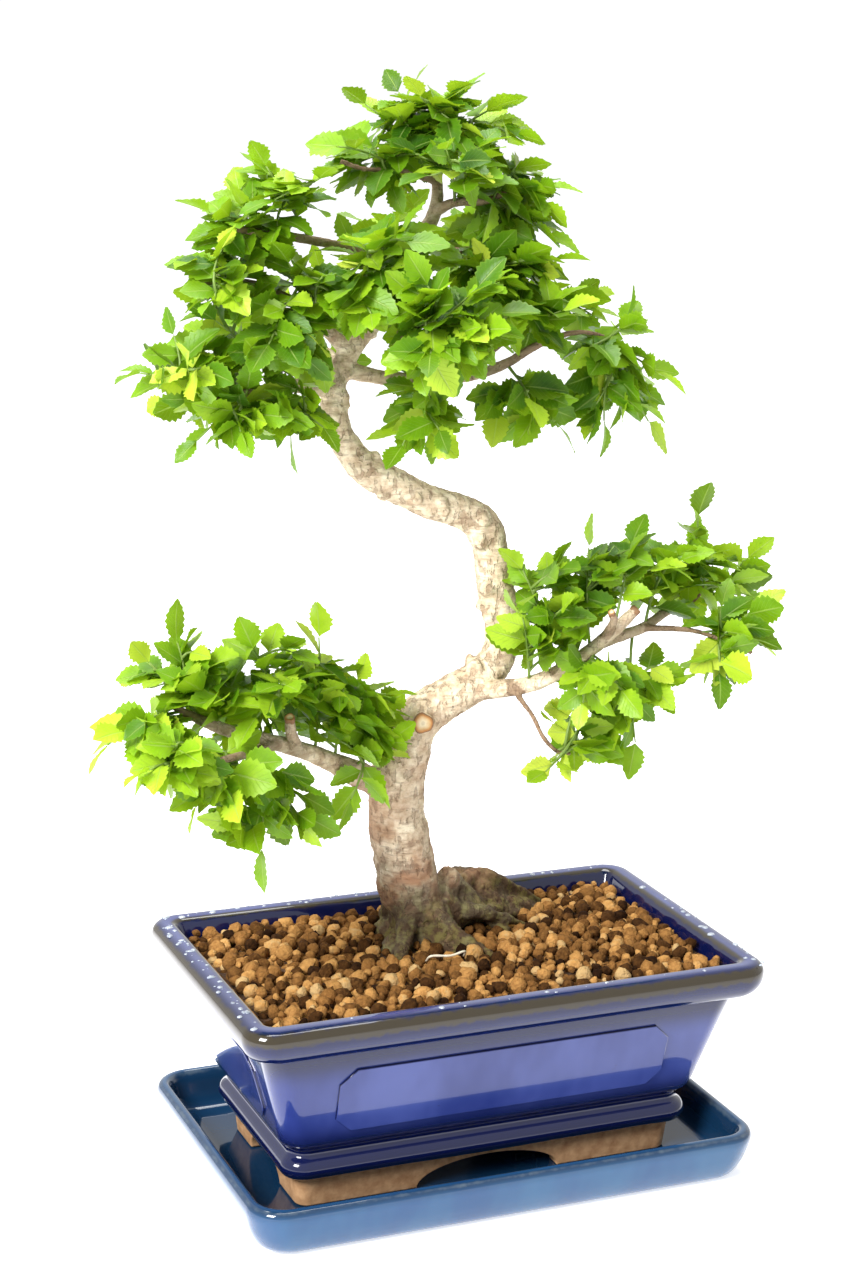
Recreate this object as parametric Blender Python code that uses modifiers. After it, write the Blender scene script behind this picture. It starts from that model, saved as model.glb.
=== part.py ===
"""A small-leaved elm bonsai in a glazed rectangular pot on a drip tray.

Everything is in metres with +Z up. The origin is the centre of the tray's underside, X runs along
the pot's long side and -Y is its front. Routes and outlines below are written in millimetres.
"""

import math
import random

import bmesh
import bpy
from mathutils import Matrix, Vector
from mathutils.bvhtree import BVHTree

MM = 0.001
GAP = 0.35  # mm left between two pieces that touch

# ---- driving dimensions, mm ----
POT_LENGTH = 201.0
POT_WIDTH = 127.0
TRAY_LENGTH = 197.0
TRAY_WIDTH = 131.0
TRAY_FLOOR = 5.0
FOOT_BOTTOM = TRAY_FLOOR + GAP
POT_BASE = 17.0
POT_FLOOR = 23.0
RIM_TOP = 84.0
SOIL_TOP = 78.0
SOIL_EDGE = 77.0
DRAIN_X = 40.0
DRAIN_RADIUS = 8.0
LEAF_LENGTH = 14.0
LEAF_WIDTH = 8.6
LEAF_THICKNESS = 0.9
TWIG_RADIUS = 0.75

# ---- scene, collections and materials ----
for old in list(bpy.data.objects):
    bpy.data.objects.remove(old)

PARTS = bpy.data.collections.new("bonsai_tree_in_pot")
CUTTERS = bpy.data.collections.new("cutters")
bpy.context.scene.collection.children.link(PARTS)
bpy.context.scene.collection.children.link(CUTTERS)


def material(name, colour, roughness, metallic=0.0):
    made = bpy.data.materials.new(name)
    made.use_nodes = True
    shader = made.node_tree.nodes["Principled BSDF"]
    shader.inputs["Base Color"].default_value = (*colour, 1.0)
    shader.inputs["Roughness"].default_value = roughness
    shader.inputs["Metallic"].default_value = metallic
    return made


BLUE_GLAZE = material("blue_glaze", (0.03, 0.06, 0.30), 0.08)
PALE_BLUE_GLAZE = material("pale_blue_glaze", (0.05, 0.19, 0.42), 0.12)
CLAY_GRANULES = material("clay_granules", (0.33, 0.16, 0.05), 0.95)
BARK = material("bark", (0.48, 0.38, 0.27), 0.85)
LEAF_GREEN = material("leaf_green", (0.10, 0.36, 0.03), 0.40)
MESH_PLASTIC = material("mesh_plastic", (0.04, 0.04, 0.04), 0.5)
CLIP_WIRE = material("clip_wire", (0.55, 0.55, 0.57), 0.35, 1.0)


def place(mesh, name, finish, collection=PARTS):
    """A new object holding mesh; in the cutters collection it is a hidden helper."""
    made = bpy.data.objects.new(name, mesh)
    collection.objects.link(made)
    if finish and not mesh.materials:
        mesh.materials.append(finish)
    if collection is CUTTERS:
        made.hide_render = True
        made.display_type = "WIRE"
    return made


def boolean(target, cutter, operation):
    modifier = target.modifiers.new(operation.lower(), "BOOLEAN")
    modifier.operation = operation
    modifier.object = cutter
    return modifier


def smooth(made, degrees=35):
    made.data.shade_smooth()
    made.data.set_sharp_from_angle(angle=math.radians(degrees))


# ---- ceramics: rounded rectangles lofted up the outside, over the rim and down the inside ----
def rounded_ring(half_length, half_width, z, radius, per_corner):
    """Points of a rounded rectangle at height z, counter-clockwise from above."""
    corners = ((1, 1, 0), (-1, 1, 90), (-1, -1, 180), (1, -1, 270))
    points = []
    for x_side, y_side, start in corners:
        for step in range(per_corner):
            turn = math.radians(start + 90 * step / (per_corner - 1))
            x = x_side * (half_length - radius) + radius * math.cos(turn)
            y = y_side * (half_width - radius) + radius * math.sin(turn)
            points.append(Vector((x, y, z)) * MM)
    return points


def lofted_vessel(name, rings, finish, per_corner=5, collection=PARTS):
    """A closed solid through rings of (half length, half width, z, corner radius)."""
    shape = bmesh.new()
    loops = []
    for ring in rings:
        loops.append([shape.verts.new(p) for p in rounded_ring(*ring, per_corner)])
    for lower, upper in zip(loops, loops[1:]):
        for i in range(len(lower)):
            j = (i + 1) % len(lower)
            shape.faces.new((lower[i], lower[j], upper[j], upper[i]))
    shape.faces.new(list(reversed(loops[0])))
    shape.faces.new(loops[-1])
    mesh = bpy.data.meshes.new(name)
    shape.to_mesh(mesh)
    shape.free()
    made = place(mesh, name, finish, collection)
    smooth(made)
    return made


def inset(length, width, rings):
    """Rings given as (inset from the outermost edge, z, corner radius), as half sizes."""
    return [(length / 2 - d, width / 2 - d, z, r) for d, z, r in rings]


TRAY_PROFILE = (
    (8.5, 0.0, 9.0), (5.0, 2.0, 11.0), (2.2, 7.0, 12.5), (0.4, 13.5, 13.0), (0.0, 16.5, 13.0),
    (1.0, 18.6, 12.5), (2.6, 19.2, 11.5), (4.2, 18.5, 10.0), (5.4, 15.5, 9.0), (6.6, 10.0, 8.5),
    (8.6, 6.2, 7.5), (11.0, TRAY_FLOOR, 6.0),
)
POT_PROFILE = (
    (24.5, POT_BASE, 6.0), (21.8, 18.3, 8.0), (20.4, 21.2, 9.0), (21.4, 24.2, 8.0),
    (23.6, 26.2, 7.0), (23.4, 29.0, 7.0), (19.6, 32.6, 8.0), (9.2, 69.0, 9.0), (8.8, 70.6, 9.0),
    (3.2, 72.4, 10.0), (0.6, 76.6, 10.5), (0.0, 80.4, 11.0), (1.3, 83.2, 10.0), (3.8, RIM_TOP, 8.0),
    (8.4, RIM_TOP, 4.5),
)
POT_INSIDE = (
    (9.6, 82.8, 4.0), (13.5, 69.0, 4.0), (24.5, 31.0, 4.0), (28.0, 25.5, 4.0), (32.0, POT_FLOOR, 4.0),
)


def make_tray():
    return lofted_vessel("drip_tray", inset(TRAY_LENGTH, TRAY_WIDTH, TRAY_PROFILE), PALE_BLUE_GLAZE)


def cylinder(name, radius, bottom, top, x, y, collection=CUTTERS, sides=24):
    shape = bmesh.new()
    bmesh.ops.create_cone(
        shape, cap_ends=True, segments=sides, radius1=radius * MM, radius2=radius * MM,
        depth=(top - bottom) * MM,
        matrix=Matrix.Translation(Vector((x, y, (top + bottom) / 2)) * MM),
    )
    mesh = bpy.data.meshes.new(name)
    shape.to_mesh(mesh)
    shape.free()
    return place(mesh, name, None, collection)


def box(name, size, centre, collection=CUTTERS):
    shape = bmesh.new()
    bmesh.ops.create_cube(shape, size=1.0)
    bmesh.ops.scale(shape, vec=Vector(size) * MM, verts=shape.verts)
    bmesh.ops.translate(shape, vec=Vector(centre) * MM, verts=shape.verts)
    mesh = bpy.data.meshes.new(name)
    shape.to_mesh(mesh)
    shape.free()
    return place(mesh, name, None, collection)


PANEL_BOTTOM, PANEL_TOP, PANEL_CHAMFER, PANEL_RELIEF = 36.5, 63.5, 6.0, 0.9
WALL_BOTTOM_Z, WALL_TOP_Z = 32.6, 69.0
WALL_BOTTOM_INSET, WALL_TOP_INSET = 19.6, 9.2


def raised_panel(name, half_span, half_depth, turn):
    """A chamfered plate lying in a sloping wall, standing proud of it by the panel relief."""
    lean = math.atan2(WALL_BOTTOM_INSET - WALL_TOP_INSET, WALL_TOP_Z - WALL_BOTTOM_Z)
    height = (PANEL_TOP - PANEL_BOTTOM) / 2
    c = PANEL_CHAMFER
    outline = [
        (-half_span, -height + c), (-half_span + c, -height), (half_span - c, -height),
        (half_span, -height + c), (half_span, height - c), (half_span - c, height),
        (-half_span + c, height), (-half_span, height - c),
    ]
    curve = bpy.data.curves.new(name, "CURVE")
    curve.dimensions = "2D"
    curve.fill_mode = "BOTH"
    curve.extrude = 1.5 * MM
    spline = curve.splines.new("POLY")
    spline.points.add(len(outline) - 1)
    for point, (x, y) in zip(spline.points, outline):
        point.co = (x * MM, y * MM, 0.0, 1.0)
    spline.use_cyclic_u = True
    flat = bpy.data.objects.new(name + "_outline", curve)
    CUTTERS.objects.link(flat)
    middle = (PANEL_BOTTOM + PANEL_TOP) / 2
    share = (middle - WALL_BOTTOM_Z) / (WALL_TOP_Z - WALL_BOTTOM_Z)
    wall = half_depth - (WALL_BOTTOM_INSET + (WALL_TOP_INSET - WALL_BOTTOM_INSET) * share)
    stand = Matrix.Rotation(math.radians(90) + lean, 4, "X")
    out = Matrix.Translation((0, -(wall + PANEL_RELIEF - 1.5) * MM, middle * MM))
    flat.matrix_world = Matrix.Rotation(turn, 4, "Z") @ out @ stand
    bpy.context.view_layer.update()
    return curve_to_mesh(flat, name, None, CUTTERS)


def curve_to_mesh(curve_object, name, finish, collection):
    """The mesh of a curve object, its loose caps welded; the curve is removed."""
    graph = bpy.context.evaluated_depsgraph_get()
    mesh = bpy.data.meshes.new_from_object(curve_object.evaluated_get(graph))
    shape = bmesh.new()
    shape.from_mesh(mesh)
    bmesh.ops.remove_doubles(shape, verts=shape.verts, dist=0.00001)
    bmesh.ops.recalc_face_normals(shape, faces=shape.faces)
    bmesh.ops.transform(shape, matrix=curve_object.matrix_world, verts=shape.verts)
    shape.to_mesh(mesh)
    shape.free()
    bpy.data.objects.remove(curve_object)
    return place(mesh, name, finish, collection)


def make_pot():
    pot = lofted_vessel("pot", inset(POT_LENGTH, POT_WIDTH, POT_PROFILE + POT_INSIDE), BLUE_GLAZE)
    ring_inset = 25.5
    ring_wall = 9.0
    foot = inset(POT_LENGTH, POT_WIDTH, (
        (ring_inset + ring_wall, FOOT_BOTTOM, 3.0), (ring_inset + ring_wall, POT_BASE + 2, 3.0),
    ))
    hollow = lofted_vessel("foot_hollow", [
        (a, b, z, r) for (a, b, _, r), z in zip(foot, (FOOT_BOTTOM - 2, POT_BASE + 0.01))
    ], None, collection=CUTTERS)
    feet = lofted_vessel("feet", inset(POT_LENGTH, POT_WIDTH, (
        (ring_inset + 1.5, FOOT_BOTTOM, 5.0), (ring_inset, POT_BASE + 2, 5.0),
    )), None, collection=CUTTERS)
    boolean(pot, feet, "UNION")
    boolean(pot, hollow, "DIFFERENCE")
    arch_rise = 9.5
    for name, half_span, along in (("long_arch", 28.0, 90), ("short_arch", 16.0, 0)):
        arch = cylinder(name, 1.0, -110, 110, 0, 0, sides=24)
        arch.data.transform(Matrix.Diagonal((half_span, arch_rise, 1.0, 1.0)))
        arch.data.transform(Matrix.Rotation(math.radians(90), 4, "X"))
        arch.data.transform(Matrix.Rotation(math.radians(90 - along), 4, "Z"))
        arch.data.transform(Matrix.Translation((0, 0, FOOT_BOTTOM * MM)))
        boolean(pot, arch, "DIFFERENCE")
    long_half, short_half = 64.0, 30.0
    for side, turn in (("front", 0), ("back", math.pi)):
        boolean(pot, raised_panel("panel_" + side, long_half, POT_WIDTH / 2, turn), "UNION")
    for side, turn in (("right", math.pi / 2), ("left", -math.pi / 2)):
        boolean(pot, raised_panel("panel_" + side, short_half, POT_LENGTH / 2, turn), "UNION")
    for side in (-1, 1):
        hole = cylinder("drain_hole", DRAIN_RADIUS, POT_BASE - 5, POT_FLOOR + 5, side * DRAIN_X, 0)
        boolean(pot, hole, "DIFFERENCE")
    return pot


# ---- drainage mesh and the wire clips that hold it over the holes ----
MESH_THICKNESS = 1.3
MESH_OPENING, MESH_BAR, MESH_COUNT = 3.6, 1.4, 5
MESH_PITCH = MESH_OPENING + MESH_BAR
MESH_SIDE = MESH_COUNT * MESH_PITCH + MESH_BAR
MESH_BOTTOM = POT_FLOOR + GAP
CLIP_RADIUS = 0.75


def make_drain_mesh(name, x):
    """A square plastic screen: a grid of cells, with every cell's middle left open."""
    edges = [-MESH_SIDE / 2]
    for _ in range(MESH_COUNT):
        edges += [edges[-1] + MESH_BAR, edges[-1] + MESH_PITCH]
    edges.append(MESH_SIDE / 2)
    shape = bmesh.new()
    corner = {
        (i, j): shape.verts.new(Vector((x + edges[i], edges[j], MESH_BOTTOM)) * MM)
        for i in range(len(edges)) for j in range(len(edges))
    }
    for i in range(len(edges) - 1):
        for j in range(len(edges) - 1):
            if i % 2 == 0 or j % 2 == 0:
                shape.faces.new((corner[i, j], corner[i + 1, j], corner[i + 1, j + 1], corner[i, j + 1]))
    mesh = bpy.data.meshes.new(name)
    shape.to_mesh(mesh)
    shape.free()
    made = place(mesh, name, MESH_PLASTIC)
    thick = made.modifiers.new("thickness", "SOLIDIFY")
    thick.thickness = MESH_THICKNESS * MM
    thick.offset = 1.0
    return made


def wire(name, route, radius, finish, collection=PARTS, resolution=1):
    """A round wire or stem along a route of (x, y, z) or (x, y, z, radius) points, as a mesh."""
    curve = bpy.data.curves.new(name, "CURVE")
    curve.dimensions = "3D"
    curve.bevel_depth = MM
    curve.bevel_resolution = resolution
    curve.use_fill_caps = True
    spline = curve.splines.new("POLY")
    spline.points.add(len(route) - 1)
    for point, place_mm in zip(spline.points, route):
        point.co = (*(Vector(place_mm[:3]) * MM), 1.0)
        point.radius = place_mm[3] if len(place_mm) > 3 else radius
    made = bpy.data.objects.new(name + "_curve", curve)
    CUTTERS.objects.link(made)
    bpy.context.view_layer.update()
    return curve_to_mesh(made, name, finish, collection)


def make_clip(name, x):
    top = MESH_BOTTOM + MESH_THICKNESS + GAP + CLIP_RADIUS
    under = POT_BASE - GAP - CLIP_RADIUS
    leg, reach = MESH_PITCH, 13.0
    half = [(leg - 1.2, top), (leg, top - 1.2), (leg, under + 1.4), (leg + 1.4, under), (reach, under)]
    route = [(x - u, 0.0, z) for u, z in reversed(half)] + [(x + u, 0.0, z) for u, z in half]
    return wire(name, route, CLIP_RADIUS, CLIP_WIRE)


# ---- the tree: every limb is a tapering tube, and all of them grow into one solid ----
# Each point is (x, y, z, radius).
LIMBS = {
    "trunk": [
        (-3, 14, 66, 12.6), (-4, 14, 74, 12.4), (-6, 14, 86, 12.0), (-12, 14, 100, 11.6),
        (-16, 13, 117, 11.1), (-19, 12, 132, 10.7), (-19, 11, 147, 10.4), (-17, 9, 159, 9.5),
        (-12, 8, 169, 8.7), (-1, 7, 176, 7.7), (11, 7, 182, 7.3), (19, 8, 191, 6.6),
        (20, 9, 204, 6.6), (17, 10, 217, 6.6), (15, 10, 230, 6.5), (11, 10, 239, 6.5),
        (3, 10, 244, 6.2), (-9, 11, 248, 6.1), (-21, 12, 254, 6.1), (-33, 13, 261, 5.7),
        (-41, 14, 271, 5.1), (-44, 15, 280, 4.7), (-44, 16, 290, 4.4), (-38, 17, 302, 4.0),
        (-29, 18, 313, 3.9), (-24, 19, 325, 3.5), (-18, 20, 336, 3.2), (-8, 20, 345, 2.8),
        (-5, 19, 354, 2.3), (-6, 18, 364, 1.8), (-8, 17, 373, 1.3), (-10, 16, 381, 0.8),
    ],
    "root_right": [(-4, 15, 88, 8.5), (14, 22, 87, 7.0), (30, 28, 84, 5.6), (46, 33, 79, 4.2), (58, 36, 72, 2.6)],
    "root_back": [(-2, 18, 92, 7.0), (14, 28, 93, 6.2), (28, 34, 90, 5.4), (42, 38, 84, 4.2), (54, 41, 75, 2.8)],
    "root_left": [(-10, 14, 84, 8.0), (-20, 8, 80, 5.6), (-29, 2, 74, 3.2)],
    "root_front": [(-6, 8, 84, 8.6), (-2, -2, 79, 5.6), (2, -10, 73, 3.2)],
    "root_rear": [(-8, 18, 84, 8.2), (-16, 28, 79, 5.4), (-24, 36, 73, 3.0)],
    "low_left": [
        (-19, 11, 141, 6.6), (-27, 8, 145, 5.6), (-41, 2, 153, 4.5), (-58, -6, 163, 3.5),
        (-73, -12, 170, 2.9), (-89, -16, 176, 2.4), (-102, -18, 182, 2.0), (-114, -20, 189, 1.2),
    ],
    "low_left_fork": [(-73, -12, 170, 2.0), (-92, -30, 173, 1.6), (-110, -42, 175, 1.2), (-121, -48, 179, 0.8)],
    "low_left_stub": [(-64, -9, 165, 2.2), (-71, -18, 175, 2.1), (-73, -22, 182, 1.9)],
    "pruning_scar": [(-12, 8, 168, 4.4), (-14, 1, 169, 4.2), (-15, -2, 169.6, 3.6)],
    "right": [
        (5, 7, 178, 4.4), (13, -2, 180, 3.6), (23, -10, 183, 3.0), (33, -14, 188, 2.8),
        (43, -18, 196, 2.6), (51, -20, 203, 2.4), (59, -22, 211, 2.0),
    ],
    "right_fork": [(46, -18, 198, 2.2), (58, -15, 200, 2.1), (69, -10, 201, 2.0), (82, -2, 204, 1.8), (95, 4, 205, 1.4), (105, 8, 212, 0.9)],
    "right_low_fork": [(66, -11, 201, 1.4), (85, -16, 200, 1.1), (99, -20, 195, 0.8), (108, -22, 191, 0.6)],
    "right_stub": [(48, -18, 200, 1.7), (48, -26, 208, 1.6), (46, -28, 212, 1.4)],
    "hanging": [(18, -6, 182, 1.5), (19, -12, 178, 1.1), (23, -14, 172, 0.9), (27, -15, 164, 0.8), (33, -14, 158, 0.7), (39, -13, 156, 0.6)],
    "crown_low_left": [(-44, 15, 289, 3.6), (-60, 8, 292, 2.6), (-75, 0, 292, 2.2), (-89, -6, 291, 1.8), (-100, -10, 290, 1.5)],
    "crown_mid_left": [(-38, 17, 302, 3.0), (-53, 10, 314, 2.1), (-69, 2, 324, 1.8), (-85, -4, 329, 1.8), (-101, -8, 329, 1.5)],
    "crown_upper_left": [(-20, 19, 331, 2.6), (-39, 14, 338, 1.9), (-57, 6, 342, 1.7), (-74, -2, 345, 1.6), (-89, -6, 347, 1.2)],
    "crown_right": [
        (-41, 17, 296, 3.2), (-26, 12, 293, 2.6), (-12, 6, 293, 2.5), (3, 0, 295, 2.2),
        (13, -4, 299, 1.8), (24, -8, 306, 1.4), (38, -10, 310, 1.1), (53, -12, 307, 0.7),
    ],
    "crown_right_fork": [(1, 1, 294, 1.9), (19, 16, 303, 1.4), (41, 28, 308, 1.1), (58, 34, 310, 0.7)],
    "top_right": [(-6, 19, 350, 2.2), (-2, 10, 354, 1.7), (6, 2, 355, 1.5), (13, -4, 359, 0.9)],
    "top_left": [(-6, 18, 361, 1.7), (-23, 10, 365, 1.2), (-39, 2, 366, 0.9), (-50, -4, 369, 0.6)],
    "crown_back": [(-23, 19, 326, 2.5), (-4, 45, 328, 1.8), (15, 62, 328, 1.3), (31, 72, 332, 0.8)],
    "crown_low_back": [(-43, 16, 292, 3.0), (-37, 40, 298, 2.2), (-40, 62, 299, 1.5), (-48, 74, 301, 0.9)],
    "crown_front": [(-28, 18, 316, 2.6), (-31, -6, 316, 1.7), (-36, -26, 313, 1.3), (-37, -42, 310, 0.8)],
    "crown_mid_right": [(-16, 20, 339, 2.2), (-2, 14, 337, 1.5), (10, 6, 339, 1.2), (20, 2, 343, 0.7)],
}
BURIED_LIMBS = ("trunk", "root_right", "root_back", "root_left", "root_front", "root_rear")
THICK_SIDES = 3  # bevel resolution of trunk and roots, which gives ten sides
THIN_SIDES = 1


def limb(name, route, grow=0.0, collection=CUTTERS, finish=BARK):
    route = [(x, y, z, r + grow) for x, y, z, r in route]
    thick = route[0][3] > 6.9
    return wire(name, route, 1.0, finish, collection, THICK_SIDES if thick else THIN_SIDES)


def make_trunk():
    trunk = limb("trunk_and_branches", LIMBS["trunk"], collection=PARTS)
    for name, route in LIMBS.items():
        if name != "trunk":
            boolean(trunk, limb(name, route), "UNION")
    return trunk


def make_socket():
    """The space that the buried wood takes in the soil, a gap wider all round."""
    above = 106.0
    socket = limb("root_socket", [p for p in LIMBS["trunk"] if p[2] < above], grow=0.6)
    for name in BURIED_LIMBS[1:]:
        boolean(socket, limb(name + "_socket", LIMBS[name], grow=0.6), "UNION")
    return socket


# ---- soil: granules heaped a little towards the trunk ----
def make_soil(socket):
    (lip, lip_z, _), (wall, wall_z, _) = POT_INSIDE[:2]
    edge = wall + (lip - wall) * (SOIL_EDGE - wall_z) / (lip_z - wall_z)
    inside = [(d + 1.3 * GAP, z + GAP, r - GAP) for d, z, r in reversed(POT_INSIDE[1:])]
    profile = inset(POT_LENGTH, POT_WIDTH, inside + [(edge + 1.3 * GAP, SOIL_EDGE, 4.0 - GAP)])
    soil = lofted_vessel("soil", profile, CLAY_GRANULES, per_corner=3)
    half_length, half_width = profile[-1][0] - 1.5, profile[-1][1] - 1.5
    columns, rows = 20, 12
    rng = random.Random(7)
    shape = bmesh.new()
    top, bottom = {}, {}
    for i in range(columns + 1):
        for j in range(rows + 1):
            u, v = 2 * i / columns - 1, 2 * j / rows - 1
            mound = 2.2 * (1 - u * u) * (1 - v * v)
            lump = rng.uniform(-0.9, 0.9)
            x, y = u * half_length, v * half_width
            top[i, j] = shape.verts.new(Vector((x, y, SOIL_TOP + mound + lump)) * MM)
            bottom[i, j] = shape.verts.new(Vector((x, y, 74.0)) * MM)
    for i in range(columns):
        for j in range(rows):
            shape.faces.new((top[i, j], top[i + 1, j], top[i + 1, j + 1], top[i, j + 1]))
    edge = [(i, 0) for i in range(columns)] + [(columns, j) for j in range(rows)]
    edge += [(i, rows) for i in range(columns, 0, -1)] + [(0, j) for j in range(rows, 0, -1)]
    for a, b in zip(edge, edge[1:] + edge[:1]):
        shape.faces.new((top[a], bottom[a], bottom[b], top[b]))
    shape.faces.new([bottom[k] for k in reversed(edge)])
    for key, vertex in bottom.items():
        if key not in edge:
            shape.verts.remove(vertex)
    bmesh.ops.recalc_face_normals(shape, faces=shape.faces)
    mesh = bpy.data.meshes.new("soil_surface")
    shape.to_mesh(mesh)
    shape.free()
    boolean(soil, place(mesh, "soil_surface", None, CUTTERS), "UNION")
    boolean(soil, socket, "DIFFERENCE")
    pocket_side = MESH_SIDE + 2 * GAP
    for side in (-1, 1):
        low, high = POT_FLOOR - 2, MESH_BOTTOM + MESH_THICKNESS + GAP
        x = side * DRAIN_X
        mesh_pocket = box("mesh_pocket", (pocket_side, pocket_side, high - low), (x, 0, (low + high) / 2))
        clip_top = high + 2 * CLIP_RADIUS + 2 * GAP
        clip_pocket = box("clip_pocket", (14, 3, clip_top - low), (x, 0, (low + clip_top) / 2))
        boolean(soil, mesh_pocket, "DIFFERENCE")
        boolean(soil, clip_pocket, "DIFFERENCE")
    return soil


# ---- foliage: forked shoots with leaves in two rows ----
# Each shoot is (start on its branch, tip, tip of its fork).
SHOOTS = {
    "low_left": [
        ((-41, 2, 153), (-31, -12, 168), (-47, -14, 148)),
        ((-49, -2, 157), (-44, -10, 190), (-29, 12, 171)),
        ((-58, -6, 163), (-59, -12, 207), (-56, 14, 190)),
        ((-71, -18, 175), (-86, -22, 207), (-81, -40, 199)),
        ((-80, -14, 172), (-77, 24, 181), (-69, 12, 178)),
        ((-89, -16, 176), (-99, -8, 198), (-101, -34, 194)),
        ((-102, -18, 182), (-121, -16, 204), (-110, -12, 209)),
        ((-112, -20, 187), (-139, -28, 180), (-127, -36, 189)),
        ((-92, -30, 173), (-112, -40, 160), (-102, -46, 165)),
        ((-80, -20, 170), (-87, -34, 140), (-73, -32, 150)),
        ((-110, -42, 175), (-131, -50, 177), (-125, -54, 186)),
    ],
    "right": [
        ((23, -10, 183), (14, -22, 211), (35, 4, 195)),
        ((33, -14, 188), (20, -8, 225), (27, -26, 214)),
        ((43, -18, 196), (45, -10, 232), (47, 8, 218)),
        ((51, -20, 203), (60, -14, 233), (65, 20, 209)),
        ((69, -10, 201), (85, -4, 229), (87, 18, 213)),
        ((95, 4, 205), (96, 2, 239), (111, 10, 219)),
        ((100, 6, 209), (124, 16, 202), (127, 28, 188)),
        ((88, -17, 199), (108, -24, 196), (92, -26, 186)),
        ((46, -19, 198), (37, -26, 179), (48, -34, 185)),
        ((62, -14, 199), (64, -16, 159), (71, -20, 179)),
        ((33, -14, 158), (48, -8, 160), (24, -24, 154)),
    ],
    "crown_left": [
        ((-60, 8, 292), (-69, -10, 279), (-59, -14, 281)),
        ((-75, 0, 292), (-101, -6, 277), (-89, -16, 281)),
        ((-92, -7, 291), (-122, -12, 301), (-109, -20, 306)),
        ((-68, 4, 292), (-95, -8, 317), (-88, -24, 310)),
        ((-87, -5, 291), (-103, 22, 286), (-88, 24, 293)),
        ((-69, 2, 324), (-82, -24, 311), (-69, -18, 314)),
        ((-85, -4, 329), (-103, -10, 337), (-100, -22, 326)),
        ((-53, 10, 314), (-65, -28, 333), (-71, -12, 336)),
        ((-74, -2, 345), (-95, -2, 352), (-81, 10, 358)),
        ((-57, 6, 342), (-75, 0, 367), (-63, -18, 364)),
    ],
    "apex": [
        ((-6, 18, 364), (-35, 12, 387), (-19, 22, 391)),
        ((-9, 16, 377), (1, 14, 391), (-19, 2, 390)),
        ((-7, 17, 369), (14, 10, 387), (14, 34, 378)),
        ((-23, 10, 365), (-53, -8, 374), (-30, 24, 375)),
        ((6, 2, 355), (27, -4, 360), (20, 8, 366)),
        ((8, -1, 356), (24, -10, 345), (28, 20, 350)),
        ((-2, 10, 354), (-21, -26, 374), (-3, -14, 370)),
    ],
    "middle": [
        ((-2, 14, 337), (26, 2, 334), (4, -16, 328)),
        ((-30, 10, 319), (-54, -36, 344), (-57, -30, 329)),
        ((-36, -26, 313), (-26, -46, 321), (-36, -52, 310)),
    ],
    "crown_right": [
        ((-12, 6, 293), (-29, -12, 273), (-18, -18, 279)),
        ((13, -4, 299), (26, -18, 280), (12, -26, 290)),
        ((24, -8, 306), (12, -16, 322), (25, -22, 319)),
        ((38, -10, 310), (66, -16, 296), (54, -14, 314)),
        ((46, -11, 309), (68, -8, 277), (44, -14, 285)),
        ((41, 28, 308), (62, 34, 318), (30, 40, 316)),
    ],
    "back": [
        ((15, 62, 328), (33, 72, 344), (52, 80, 315)),
        ((-4, 45, 328), (-13, 66, 342), (2, 70, 314)),
        ((-40, 62, 299), (-57, 74, 304), (-20, 84, 279)),
        ((-37, 40, 298), (-44, 60, 316), (-20, 62, 304)),
    ],
}
LEAVES_ON_SHOOT, LEAVES_ON_FORK = 4, 2
LEAF_TRIES = 10
UP = Vector((0, 0, 1))


def stem_route(start, end, sag, steps=3):
    """A gently arched stem between two points in mm, thinning towards its tip."""
    start, end = Vector(start), Vector(end)
    points = []
    for i in range(steps + 1):
        t = i / steps
        p = start.lerp(end, t) + UP * sag * 4 * t * (1 - t)
        points.append((*p, TWIG_RADIUS * (1 - 0.45 * t)))
    return points


def leaf_blade(base, direction, facing, length, width, thickness):
    """A flat pointed blade: six points round its outline, and a middle point on each face."""
    across = direction.cross(facing).normalized()
    normal = across.cross(direction).normalized()
    outline = ((0.0, 0.0), (0.28, 0.42), (0.64, 0.48), (1.0, 0.0), (0.64, -0.48), (0.28, -0.42))
    points = [base + direction * (length * along) + across * (width * half) for along, half in outline]
    middle = base + direction * (length * 0.45)
    points += [middle + normal * thickness / 2, middle - normal * thickness / 2]
    rim = len(points) - 2
    faces = []
    for i in range(rim):
        j = (i + 1) % rim
        faces += [(i, j, rim + 1), (j, i, rim)]
    return points, faces


def tree_of(points, faces):
    return BVHTree.FromPolygons([tuple(p) for p in points], faces)


def world_tree(made):
    graph = bpy.context.evaluated_depsgraph_get()
    mesh = made.evaluated_get(graph).to_mesh()
    points = [made.matrix_world @ v.co / MM for v in mesh.vertices]
    return tree_of(points, [tuple(f.vertices) for f in mesh.polygons])


def leave_branch(start, end, wood):
    """The first point from start towards end where a stem is clear of the wood."""
    start, end = Vector(start), Vector(end)
    way = (end - start).normalized()
    inside_reach = 14.0
    for step in range(int(inside_reach * 10)):
        p = start + way * step * 0.1
        nearest, normal, _, distance = wood.find_nearest(p)
        if (p - nearest).dot(normal) > 0 and distance > TWIG_RADIUS + 2 * GAP:
            return p
    return start + way * inside_reach


def stem_tube(route, grow=0.0):
    """Points and faces of a square tapering tube along a route of (x, y, z, radius), in mm."""
    points, faces = [], []
    centres = [Vector(p[:3]) for p in route]
    for i, centre in enumerate(centres):
        along = (centres[min(i + 1, len(centres) - 1)] - centres[max(i - 1, 0)]).normalized()
        across = along.cross(UP).normalized()
        lift = across.cross(along).normalized()
        radius = route[i][3] + grow
        points += [centre + across * radius, centre + lift * radius, centre - across * radius, centre - lift * radius]
    for i in range(len(route) - 1):
        for side in range(4):
            a, b = 4 * i + side, 4 * i + (side + 1) % 4
            faces.append((a, b, b + 4, a + 4))
    faces.append((3, 2, 1, 0))
    last = 4 * (len(route) - 1)
    faces.append((last, last + 1, last + 2, last + 3))
    return points, faces


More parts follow.
